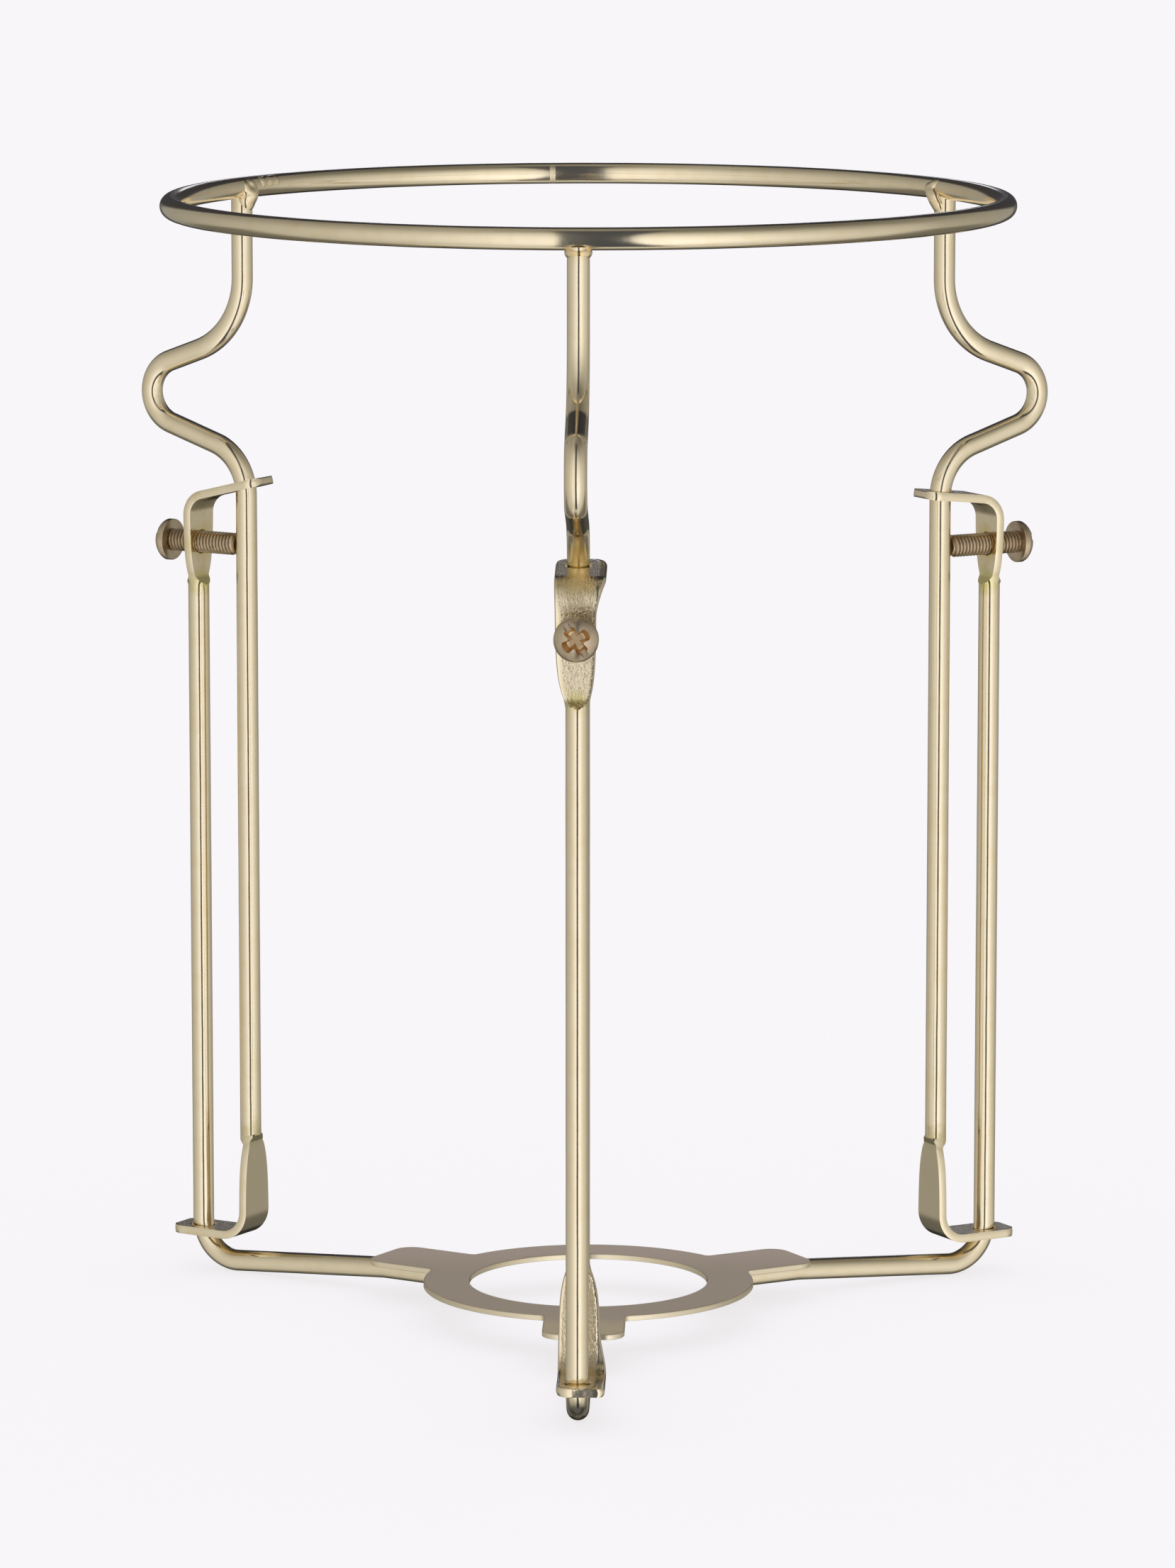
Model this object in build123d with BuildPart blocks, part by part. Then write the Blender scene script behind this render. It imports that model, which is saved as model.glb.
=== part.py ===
from build123d import *

import os
from math import cos, hypot, radians, sin, tan

# An adjustable lamp shade carrier bent from wire. Three posts rise from a pierced
# lampholder plate. Three legs slide on them, with a bump each for the shade to rest
# on, and end in a ring. A clamp screw in the flattened head of each post bears on its
# leg and holds the height. Millimetres, +Z up, the floor at Z = 0, the axis on Z.

# Where each leg and post stands
SIDE_ANGLES = {"front": -90, "left": 150, "right": 30}

# Wire, and the strip that its ends are flattened to
WIRE_DIAMETER = 2.8
STRIP_THICKNESS = 1.1
STRIP_EDGE_RADIUS = 0.35
STRIP_TIP_CORNER = 1.8
CRIMP_LENGTH = 1.4
CRIMP_WIDTH = 3.6

# Holes that slide: the leg's eye on the post, and the post's clip on the leg
SLIDE_CLEARANCE = 0.5
EYE_SIDE_WALL = 1.0
EYE_TIP_WALL = 1.6
CLIP_TIP_WALL = 1.2

# Ring, and the straight runs of the leg and the post
RING_RADIUS = 52.5
RING_ABOVE_BUMP = 27.3
LEG_INSET = 0.4
LEG_TO_POST = 7.6
BRAZE_BELOW_RING = 0.6
BRAZE_UP_RING = 0.8
BRAZE_LENGTH = 4.8
BRAZE_DEPTH = 2.4

# Bump of the leg
BUMP_DEPTH = 14.7
BUMP_TOP_BEND = 10.4
BUMP_TOP_SLOPE = 20.0
BUMP_TIP_BEND = 4.3
BUMP_FOOT_SLOPE = 18.0
BUMP_FOOT_BEND = 7.0
BUMP_INTO_CLIP = 1.6

# Foot of the leg, which slides down to the arm's bend
FOOT_HEIGHT = 12.3
FOOT_INSET = 0.4
FOOT_BEND_INNER = 1.6
EYE_INTO_BEND = 1.3

# Arm of the post, which falls outwards so that the frame stands on its three bends
ARM_SLOPE = 4.3
ARM_BEND = 5.2
ARM_KNEE_BEND = 10.0
ARM_END_RADIUS = 17.5
ARM_SEAT_FLAT = 0.15

# Head of the post: how long each is flattened and how its clip rises to the axis
CLIP_HEIGHT = 103.4
CLIP_BEND_INNER = 1.8
SCREW_BELOW_CLIP = 6.5
HEAD_FLAT = {"front": 15.3, "left": 12.1, "right": 11.8}
CLIP_RISE = {"front": 7, "left": 14, "right": 6}

# Lampholder plate
PLATE_THICKNESS = 0.7
HOLDER_HOLE_DIAMETER = 30.6
PLATE_BAND = 5.9
TAB_WIDTH = 10.3
TAB_LENGTH = 31.2
TAB_CORNER = 2.5
TAB_ROOT_RADIUS = 0.6

# Clamp screw, and how each happens to be turned
SCREW_DIAMETER = 2.9
SCREW_LENGTH = 10.0
SCREW_CLEARANCE = 0.1
SCREW_TIP_GAP = 0.1
SCREW_TIP_CHAMFER = 0.35
HEAD_DIAMETER = 5.4
HEAD_HEIGHT = 2.2
HEAD_RIM = 0.8
SLOT_WIDTH = 0.9
SLOT_DEPTH = 1.3
CROSS_WIDTH = 0.9
CROSS_SPAN = 3.4
CROSS_HUB_DIAMETER = 1.9
CROSS_DEPTH = 1.6
SCREW_TURN = {"front": -57, "left": 35, "right": -20}

# Sizes that follow from those above
WIRE_RADIUS = WIRE_DIAMETER / 2
HALF_STRIP = STRIP_THICKNESS / 2
LEG_RADIUS = RING_RADIUS - LEG_INSET
POST_RADIUS = LEG_RADIUS + LEG_TO_POST
SLIDE_HOLE_RADIUS = WIRE_RADIUS + SLIDE_CLEARANCE
EYE_WIDTH = 2 * (SLIDE_HOLE_RADIUS + EYE_SIDE_WALL)

arm_rise = tan(radians(ARM_SLOPE))
ARM_CORNER_Z = WIRE_RADIUS - ARM_BEND * (arm_rise + 1 / cos(radians(ARM_SLOPE)) - 1)
ARM_SEAT_Z = ARM_CORNER_Z + (POST_RADIUS - TAB_LENGTH) * arm_rise
PLATE_Z = ARM_SEAT_Z + WIRE_RADIUS - ARM_SEAT_FLAT

EYE_Z = WIRE_RADIUS + ARM_BEND - EYE_INTO_BEND + HALF_STRIP
FOOT_CRIMP_Z = EYE_Z + HALF_STRIP + FOOT_HEIGHT
CLIP_Z = CLIP_HEIGHT - HALF_STRIP
SCREW_Z = CLIP_HEIGHT - SCREW_BELOW_CLIP

# The bump's lower bend begins in the hole of the steepest clip
clip_run = LEG_TO_POST + HALF_STRIP - SLIDE_HOLE_RADIUS
bump_start_z = CLIP_HEIGHT + clip_run * tan(radians(max(CLIP_RISE.values()))) - BUMP_INTO_CLIP
BUMP_FOOT_Z = bump_start_z + BUMP_FOOT_BEND * tan(radians(90 - BUMP_FOOT_SLOPE) / 2)

# The bump's flanks run on to a corner, which its tip's bend rounds off
half_tip_angle = radians(BUMP_TOP_SLOPE + BUMP_FOOT_SLOPE) / 2
BUMP_CORNER_RADIUS = LEG_RADIUS + BUMP_DEPTH + BUMP_TIP_BEND * (1 / sin(half_tip_angle) - 1)
BUMP_CORNER_Z = BUMP_FOOT_Z + (BUMP_CORNER_RADIUS - LEG_RADIUS) * tan(radians(BUMP_FOOT_SLOPE))
BUMP_TOP_Z = BUMP_CORNER_Z + (BUMP_CORNER_RADIUS - RING_RADIUS) * tan(radians(BUMP_TOP_SLOPE))
RING_Z = BUMP_CORNER_Z + RING_ABOVE_BUMP

os.makedirs("parts", exist_ok=True)


def radial_plane(side):
    """The upright plane through the axis on one side: local x runs outwards, y up."""
    angle = radians(SIDE_ANGLES[side])
    outwards = Vector(cos(angle), sin(angle), 0)
    return Plane(origin=(0, 0, 0), x_dir=outwards, z_dir=outwards.cross(Vector(0, 0, 1)))


def level_plane(radial, radius, height):
    """A level plane at a point of a radial plane: local x runs outwards."""
    origin = radial.from_local_coords((radius, height, 0))
    return Plane(origin=origin, x_dir=radial.x_dir, z_dir=(0, 0, 1))


def facing_plane(radial, radius, height):
    """An upright plane across a radial plane: local x runs sideways, y up."""
    origin = radial.from_local_coords((radius, height, 0))
    return Plane(origin=origin, x_dir=-radial.z_dir, z_dir=radial.x_dir)


def save(builder, name):
    """Label a finished piece and write it."""
    builder.part.label = name
    export_step(builder.part, f"parts/{name}.step")


def bend_wire(radial, points, bends):
    """Sweep round wire along straight runs and bends in a radial plane."""
    with BuildLine(radial) as path:
        FilletPolyline(*points, radius=bends)
    with BuildSketch(Plane(origin=path.line @ 0, z_dir=path.line % 0)) as section:
        Circle(WIRE_RADIUS)
    sweep(section.sketch, path=path.line)


def flatten_strip(radial, points, bend, bend_z):
    """Flatten a strip that swells like a leaf from its neck to a bend, then runs on."""
    with BuildSketch(radial) as profile:
        with BuildLine():
            middle = FilletPolyline(*points, radius=bend)
        trace(middle, line_width=STRIP_THICKNESS)
    extrude(profile.sketch, amount=EYE_WIDTH / 2, both=True)

    neck_z = points[0][1]
    beyond_z = bend_z + 2 * (bend_z - neck_z)
    with BuildSketch(facing_plane(radial, 0, 0)) as leaf:
        with BuildLine():
            swell = TangentArc(
                (EYE_WIDTH / 2, bend_z), (CRIMP_WIDTH / 2, neck_z), tangent=(0, neck_z - bend_z)
            )
            Polyline(swell @ 0, (EYE_WIDTH / 2, beyond_z), (0, beyond_z))
            Line(swell @ 1, (0, neck_z))
            mirror(about=Plane.YZ)
        make_face()
    extrude(leaf.sketch, amount=2 * POST_RADIUS, mode=Mode.INTERSECT)


def round_strip(strip, radial, tip_index):
    """Round the corners of a strip's tip and roll its edges over."""
    outwards = Axis((0, 0, 0), radial.x_dir)
    tip = strip.faces().sort_by(outwards)[tip_index]
    fillet(tip.edges().sort_by(SortBy.LENGTH)[:2], STRIP_TIP_CORNER)
    tip = strip.faces().sort_by(outwards)[tip_index]
    rim = tip.edges().sort_by(SortBy.LENGTH)[-2:]
    for edge in strip.edges():
        along = abs((edge % 0.5).dot(radial.z_dir)) < 0.9
        if along and edge.length > 1.5 * STRIP_THICKNESS:
            rim.append(edge)
    fillet(rim, STRIP_EDGE_RADIUS)


def crimp(radial, wire_end, neck):
    """Press round wire, from a point of a radial plane, down to the strip's neck face."""
    with BuildSketch(level_plane(radial, *wire_end)) as wire_section:
        Circle(WIRE_RADIUS)
    loft([wire_section.sketch.face(), neck])


def braze(radial):
    """Fill the joint under the ring, from the leg's round end to a saddle along the ring."""
    underside_z = RING_Z - WIRE_RADIUS
    with BuildSketch(level_plane(radial, RING_RADIUS, underside_z - BRAZE_BELOW_RING)) as leg_end:
        Circle(WIRE_RADIUS)
    with BuildSketch(level_plane(radial, RING_RADIUS, underside_z + BRAZE_UP_RING)) as saddle:
        Ellipse(BRAZE_DEPTH / 2, BRAZE_LENGTH / 2)
    loft([leg_end.sketch, saddle.sketch])


def drill(plane, radius):
    """Drill through the strip that lies across a plane's origin."""
    with BuildSketch(plane) as hole:
        Circle(radius)
    extrude(hole.sketch, amount=EYE_WIDTH, both=True, mode=Mode.SUBTRACT)


# Top ring, bent from one wire and butt welded
with BuildPart() as top_ring:
    with BuildSketch(Plane.XZ):
        with Locations((RING_RADIUS, RING_Z)):
            Circle(WIRE_RADIUS)
    revolve(axis=Axis.Z)
save(top_ring, "top_ring")

# Lampholder plate, pierced for the lampholder's skirt, with a tab over each arm
with BuildPart() as lampholder_plate:
    with BuildSketch(Plane.XY.offset(PLATE_Z)) as blank:
        band_radius = HOLDER_HOLE_DIAMETER / 2 + PLATE_BAND
        Circle(band_radius)
        for angle in SIDE_ANGLES.values():
            with PolarLocations(TAB_LENGTH / 2, 1, start_angle=angle):
                RectangleRounded(TAB_LENGTH, TAB_WIDTH, TAB_CORNER)
        roots = blank.vertices().group_by(lambda corner: round(hypot(corner.X, corner.Y), 3))[0]
        fillet(roots, TAB_ROOT_RADIUS)
        Circle(HOLDER_HOLE_DIAMETER / 2, mode=Mode.SUBTRACT)
    extrude(amount=PLATE_THICKNESS)
save(lampholder_plate, "lampholder_plate")

# Upper legs, from the ring down over the bump and through the clip to the eye
foot_radius = LEG_RADIUS - FOOT_INSET
foot_neck = (foot_radius, FOOT_CRIMP_Z - CRIMP_LENGTH)
foot_bend = FOOT_BEND_INNER + HALF_STRIP
eye_tip = (POST_RADIUS + SLIDE_HOLE_RADIUS + EYE_TIP_WALL, EYE_Z)
leg_points = [
    (RING_RADIUS, RING_Z - WIRE_RADIUS - BRAZE_BELOW_RING),
    (RING_RADIUS, BUMP_TOP_Z),
    (BUMP_CORNER_RADIUS, BUMP_CORNER_Z),
    (LEG_RADIUS, BUMP_FOOT_Z),
    (LEG_RADIUS, FOOT_CRIMP_Z),
]
for side in SIDE_ANGLES:
    radial = radial_plane(side)
    with BuildPart() as upper_leg:
        foot_points = [foot_neck, (foot_radius, EYE_Z), eye_tip]
        flatten_strip(radial, foot_points, foot_bend, EYE_Z + foot_bend)
        round_strip(upper_leg, radial, -1)
        crimp(radial, leg_points[-1], upper_leg.faces().sort_by(Axis.Z)[-1])
        bend_wire(radial, leg_points, [BUMP_TOP_BEND, BUMP_TIP_BEND, BUMP_FOOT_BEND])
        drill(level_plane(radial, POST_RADIUS, EYE_Z), SLIDE_HOLE_RADIUS)
        braze(radial)
        add(top_ring.part, mode=Mode.SUBTRACT)
    save(upper_leg, f"upper_leg_{side}")

# Lower posts, from under the plate's tab along the floor and up to the clip
clip_bend = CLIP_BEND_INNER + HALF_STRIP
clip_tip_radius = LEG_RADIUS - SLIDE_HOLE_RADIUS - CLIP_TIP_WALL
for side in SIDE_ANGLES:
    radial = radial_plane(side)
    head_crimp = (POST_RADIUS, CLIP_HEIGHT - HEAD_FLAT[side])
    head_neck = (POST_RADIUS, head_crimp[1] + CRIMP_LENGTH)
    clip_rise = (POST_RADIUS - clip_tip_radius) * tan(radians(CLIP_RISE[side]))
    with BuildPart() as lower_post:
        head_points = [head_neck, (POST_RADIUS, CLIP_Z), (clip_tip_radius, CLIP_Z + clip_rise)]
        flatten_strip(radial, head_points, clip_bend, CLIP_Z - clip_bend)
        round_strip(lower_post, radial, 0)
        crimp(radial, head_crimp, lower_post.faces().sort_by(Axis.Z)[0])
        post_points = [
            (ARM_END_RADIUS, ARM_SEAT_Z),
            (TAB_LENGTH, ARM_SEAT_Z),
            (POST_RADIUS, ARM_CORNER_Z),
            head_crimp,
        ]
        bend_wire(radial, post_points, [ARM_KNEE_BEND, ARM_BEND])
        drill(level_plane(radial, LEG_RADIUS, CLIP_Z), SLIDE_HOLE_RADIUS)
        drill(facing_plane(radial, POST_RADIUS, SCREW_Z), (SCREW_DIAMETER + SCREW_CLEARANCE) / 2)
        # Flat on the arm, where the plate's tab is brazed down
        add(lampholder_plate.part, mode=Mode.SUBTRACT)
    save(lower_post, f"lower_post_{side}")

# Clamp screws, with a slot and a cross recess in a domed head
tip_radius = LEG_RADIUS + WIRE_RADIUS + SCREW_TIP_GAP
seat_radius = tip_radius + SCREW_LENGTH
crown_radius = seat_radius + HEAD_HEIGHT
for side in SIDE_ANGLES:
    radial = radial_plane(side)
    with BuildPart() as clamp_screw:
        with BuildSketch(radial):
            with BuildLine():
                half_profile = Polyline(
                    (crown_radius, SCREW_Z),
                    (tip_radius, SCREW_Z),
                    (tip_radius, SCREW_Z + SCREW_DIAMETER / 2 - SCREW_TIP_CHAMFER),
                    (tip_radius + SCREW_TIP_CHAMFER, SCREW_Z + SCREW_DIAMETER / 2),
                    (seat_radius, SCREW_Z + SCREW_DIAMETER / 2),
                    (seat_radius, SCREW_Z + HEAD_DIAMETER / 2),
                    (seat_radius + HEAD_RIM, SCREW_Z + HEAD_DIAMETER / 2),
                )
                TangentArc(half_profile @ 0, half_profile @ 1, tangent=(0, 1))
            make_face()
        revolve(axis=Axis(radial.from_local_coords((0, SCREW_Z, 0)), radial.x_dir))
        crown = facing_plane(radial, crown_radius, SCREW_Z)
        with BuildSketch(crown):
            Rectangle(2 * HEAD_DIAMETER, SLOT_WIDTH, rotation=SCREW_TURN[side])
        extrude(amount=-SLOT_DEPTH, mode=Mode.SUBTRACT)
        with BuildSketch(crown):
            SlotOverall(CROSS_SPAN, CROSS_WIDTH, rotation=SCREW_TURN[side])
            SlotOverall(CROSS_SPAN, CROSS_WIDTH, rotation=SCREW_TURN[side] + 90)
            Circle(CROSS_HUB_DIAMETER / 2)
        extrude(amount=-CROSS_DEPTH, mode=Mode.SUBTRACT)
    save(clamp_screw, f"clamp_screw_{side}")
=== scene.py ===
"""Looks of a height-adjustable carrier for a lamp shade, bent from plated wire.

Three posts rise from a pierced lampholder plate. Three legs slide on them and end in a ring. The
ends of the wires are pressed flat, bent over and pierced, and a clamp screw in the head of each
post bears on its leg. Sizes are in millimetres until a mesh is made, and the front faces -Y.
"""

import logging
import math
from dataclasses import dataclass, field, replace
from enum import Enum

import bpy
import numpy as np
from mathutils import Euler, Matrix, Vector
from mathutils.geometry import tessellate_polygon

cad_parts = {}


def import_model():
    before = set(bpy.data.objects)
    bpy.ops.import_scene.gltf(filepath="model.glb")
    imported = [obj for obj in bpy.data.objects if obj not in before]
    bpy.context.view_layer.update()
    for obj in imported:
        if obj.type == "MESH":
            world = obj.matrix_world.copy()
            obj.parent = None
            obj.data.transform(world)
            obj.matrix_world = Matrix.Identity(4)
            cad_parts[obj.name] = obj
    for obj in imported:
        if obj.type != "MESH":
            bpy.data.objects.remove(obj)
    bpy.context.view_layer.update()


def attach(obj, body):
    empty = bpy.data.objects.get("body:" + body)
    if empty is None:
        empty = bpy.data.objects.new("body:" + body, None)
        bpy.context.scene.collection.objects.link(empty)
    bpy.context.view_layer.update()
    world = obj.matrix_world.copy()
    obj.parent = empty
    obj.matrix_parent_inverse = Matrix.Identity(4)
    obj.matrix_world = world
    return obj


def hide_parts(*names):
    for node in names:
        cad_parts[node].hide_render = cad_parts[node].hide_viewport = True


LOG = logging.getLogger("carrier")
MM = 0.001
WIRE_RADIUS = 1.4
HALF_STRIP = 0.55
ROUND_STEPS = (1.0, 0.3)
PRESSED_STEPS = (0.2, 0.15)
CUTTER_REACH = 3.0
TIP_STEPS = (0.1, 0.18, 0.22, 0.25, 0.275, 0.29, 0.3)

Colour = tuple[float, float, float]
Stretch = tuple[float, float, float]
Range = tuple[float, float]
Levels = tuple[tuple[float, float], ...]
Spot = tuple[float, float, float]
Edge = tuple[float, float, float, float]
Face = tuple[int, ...]
Profile = list[tuple[float, float]]


class Side(Enum):
    """Where a leg and its post stand, as degrees from +X."""

    FRONT = -90.0
    LEFT = 150.0
    RIGHT = 30.0

    @property
    def key(self) -> str:
        """The word that this side's nodes end in."""
        return self.name.lower()

    @property
    def outwards(self) -> Vector:
        """Unit vector from the axis towards this side."""
        angle = math.radians(self.value)
        return Vector((math.cos(angle), math.sin(angle), 0.0))

    @property
    def across(self) -> Vector:
        """Unit vector across this side, to the right when it is seen from outside."""
        return Vector((0.0, 0.0, 1.0)).cross(self.outwards)

    def point(self, radius: float, height: float, across: float = 0.0) -> Vector:
        """A place in this side's upright plane.

        Args:
            radius: Distance from the axis.
            height: Distance above the floor.
            across: Distance out of the plane, to the right when seen from outside.

        Returns:
            The place in the row frame, in the units given.
        """
        return self.outwards * radius + self.across * across + Vector((0.0, 0.0, height))


class Value:
    """A number socket that takes part in Python expressions, which add Math nodes."""

    def __init__(self, tree: "Tree", socket: bpy.types.NodeSocket) -> None:
        """Wraps an output socket of a tree."""
        self.tree = tree
        self.socket = socket

    def math(self, operation: str, *others: object) -> "Value":
        """This value, then the others, through one Math node."""
        inputs = dict(enumerate((self, *others)))
        return self.tree.value("ShaderNodeMath", {"operation": operation}, inputs)

    def __add__(self, other: object) -> "Value":
        """Sum."""
        return self.math("ADD", other)

    def __radd__(self, other: float) -> "Value":
        """Sum with a plain number first."""
        return self.math("ADD", other)

    def __sub__(self, other: object) -> "Value":
        """Difference."""
        return self.math("SUBTRACT", other)

    def __rsub__(self, other: float) -> "Value":
        """Difference from a plain number."""
        return self.tree.value("ShaderNodeMath", {"operation": "SUBTRACT"}, {0: other, 1: self})

    def __mul__(self, other: object) -> "Value":
        """Product."""
        return self.math("MULTIPLY", other)

    def __rmul__(self, other: float) -> "Value":
        """Product with a plain number first."""
        return self.math("MULTIPLY", other)

    def __truediv__(self, other: object) -> "Value":
        """Quotient."""
        return self.math("DIVIDE", other)

    def __rtruediv__(self, other: float) -> "Value":
        """Quotient of a plain number."""
        return self.tree.value("ShaderNodeMath", {"operation": "DIVIDE"}, {0: other, 1: self})

    def between(self, low: float, high: float) -> "Value":
        """0 below low, 1 above high and a smooth step between them."""
        settings = {"interpolation_type": "SMOOTHSTEP"}
        return self.tree.value("ShaderNodeMapRange", settings, {0: self, 1: low, 2: high})


class Arrow(Value):
    """A vector socket that takes part in Python expressions, which add Vector Math nodes."""

    def vector(self, operation: str, *others: object) -> "Arrow":
        """This vector, then the others, through one Vector Math node."""
        inputs = dict(enumerate((self, *others)))
        return self.tree.arrow("ShaderNodeVectorMath", {"operation": operation}, inputs)

    def __add__(self, other: object) -> "Arrow":
        """Sum."""
        return self.vector("ADD", other)

    def scaled(self, factor: object) -> "Arrow":
        """This vector times a number."""
        inputs = {"Vector": self, "Scale": factor}
        return self.tree.arrow("ShaderNodeVectorMath", {"operation": "SCALE"}, inputs)

    def times(self, other: object) -> "Arrow":
        """Product, part by part."""
        return self.vector("MULTIPLY", other)

    def cross(self, other: object) -> "Arrow":
        """Cross product."""
        return self.vector("CROSS_PRODUCT", other)

    def dot(self, other: object) -> Value:
        """Dot product."""
        inputs = {0: self, 1: other}
        return self.tree.value("ShaderNodeVectorMath", {"operation": "DOT_PRODUCT"}, inputs, "Value")

    def distance(self, place: Vector) -> Value:
        """Distance to a fixed place."""
        inputs = {0: self, 1: tuple(place)}
        return self.tree.value("ShaderNodeVectorMath", {"operation": "DISTANCE"}, inputs, "Value")

    def parts(self) -> tuple[Value, Value, Value]:
        """X, Y and Z."""
        node = self.tree.node("ShaderNodeSeparateXYZ", {}, {0: self})
        return tuple(Value(self.tree, out) for out in node.outputs)


class Tree:
    """Adds nodes to a material's, a world's or a geometry tree."""

    def __init__(self, tree: bpy.types.NodeTree) -> None:
        """Wraps a node tree."""
        self.tree = tree

    def node(self, kind: str, settings: dict | None = None, inputs: dict | None = None) -> bpy.types.Node:
        """Adds one node.

        Args:
            kind: Blender's name of the node's type.
            settings: The node's own settings; "stops" sets a ramp's places and colours.
            inputs: A value or a link for each input socket, by name or number.

        Returns:
            The new node.
        """
        node = self.tree.nodes.new(kind)
        for name, setting in (settings or {}).items():
            if name == "stops":
                self._set_stops(node.color_ramp, setting)
            else:
                setattr(node, name, setting)
        self.feed(node, inputs or {})
        return node

    def feed(self, node: bpy.types.Node, inputs: dict) -> None:
        """Sets or links a node's input sockets.

        Args:
            node: The node.
            inputs: A value or a link for each socket, by name or number.
        """
        for key, given in inputs.items():
            if isinstance(given, Value):
                self.tree.links.new(given.socket, node.inputs[key])
            else:
                node.inputs[key].default_value = given

    def value(self, kind: str, settings: dict | None = None, inputs: dict | None = None,
              output: int | str = 0) -> Value:
        """Adds one node and gives one of its outputs as a number."""
        return Value(self, self.node(kind, settings, inputs).outputs[output])

    def arrow(self, kind: str, settings: dict | None = None, inputs: dict | None = None,
              output: int | str = 0) -> Arrow:
        """Adds one node and gives one of its outputs as a vector."""
        return Arrow(self, self.node(kind, settings, inputs).outputs[output])

    def mix(self, factor: Value, first: object, second: object) -> Arrow:
        """A colour between two, by a factor."""
        settings = {"data_type": "RGBA"}
        return self.arrow("ShaderNodeMix", settings, {0: factor, 6: first, 7: second}, 2)

    def noise(self, place: Value, scale: object, detail: float = 2.0, seed: object = 0.0,
              roughness: float = 0.5) -> Value:
        """Smooth noise from 0 to 1, with a fixed seed.

        Args:
            place: Where the noise is read.
            scale: How many wanders fit into a unit of place.
            detail: How many finer layers are added.
            seed: Chooses the wanders.
            roughness: How strong the finer layers are.

        Returns:
            The noise.
        """
        settings = {"noise_dimensions": "4D"}
        inputs = {"Vector": place, "W": seed, "Scale": scale, "Detail": detail, "Roughness": roughness}
        return self.value("ShaderNodeTexNoise", settings, inputs)

    def attribute(self, name: str) -> Value:
        """A number that a surface carries under a name."""
        return self.value("ShaderNodeAttribute", {"attribute_name": name}, {}, "Fac")

    def bump(self, height: Value) -> Value:
        """A normal from a height in millimetres."""
        return self.value("ShaderNodeBump", {}, {"Strength": 1.0, "Distance": MM, "Height": height})

    @staticmethod
    def _set_stops(ramp: bpy.types.ColorRamp, stops: list[tuple[float, Colour]]) -> None:
        """Sets a ramp's stops.

        Args:
            ramp: The ramp of a new node.
            stops: (place, colour) pairs, from 0 to 1.
        """
        while len(ramp.elements) > 1:
            ramp.elements.remove(ramp.elements[-1])
        for number, (place, colour) in enumerate(stops):
            stop = ramp.elements[0] if number == 0 else ramp.elements.new(place)
            stop.position = place
            stop.color = (*colour, 1.0)


def new_material(name: str) -> tuple[bpy.types.Material, Tree, bpy.types.Node]:
    """Makes a material with nothing but its shader.

    Args:
        name: The material's name.

    Returns:
        The material, its tree and its Principled shader.
    """
    material = bpy.data.materials.new(name)
    material.use_nodes = True
    return material, Tree(material.node_tree), material.node_tree.nodes["Principled BSDF"]


class Tint(Enum):
    """Colours that heat, flux and wear leave on the plating, a darker band above the front screw, and two
    painted dark reflections: on the bend under the front bump, and of the floor's shadow at the front post's
    foot.
    """

    RING_JOINT = (0.72, 0.52, 0.22)
    LEG_TOP = (0.72, 0.50, 0.20)
    BRAZE_INSIDE = (0.74, 0.52, 0.22)
    BRAZE_OUTSIDE = (0.70, 0.50, 0.20)
    # Painted dark reflection on the front leg's bend under its bump.
    BUMP_STREAK = (0.62, 0.45, 0.16)
    FOOT_CRIMP = (0.55, 0.47, 0.20)
    EYE = (0.66, 0.50, 0.26)
    HEAD_CRIMP = (0.70, 0.61, 0.25)
    SCREW_HOLE = (0.78, 0.60, 0.24)
    CLIP = (0.62, 0.48, 0.24)
    ABOVE_SCREW = (0.46, 0.38, 0.24)
    # Painted reflection of the floor's shadow in the front post's foot.
    ON_FLOOR = (0.09, 0.085, 0.08)


@dataclass(frozen=True)
class Stain:
    """A patch of colour round a place, in millimetres, with a ragged rim: mostly stains, and two painted
    dark reflections.
    """

    place: Vector
    reach: float
    tint: Tint
    strength: float
    core: float = 0.35
    ragged: float = 0.8


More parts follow.
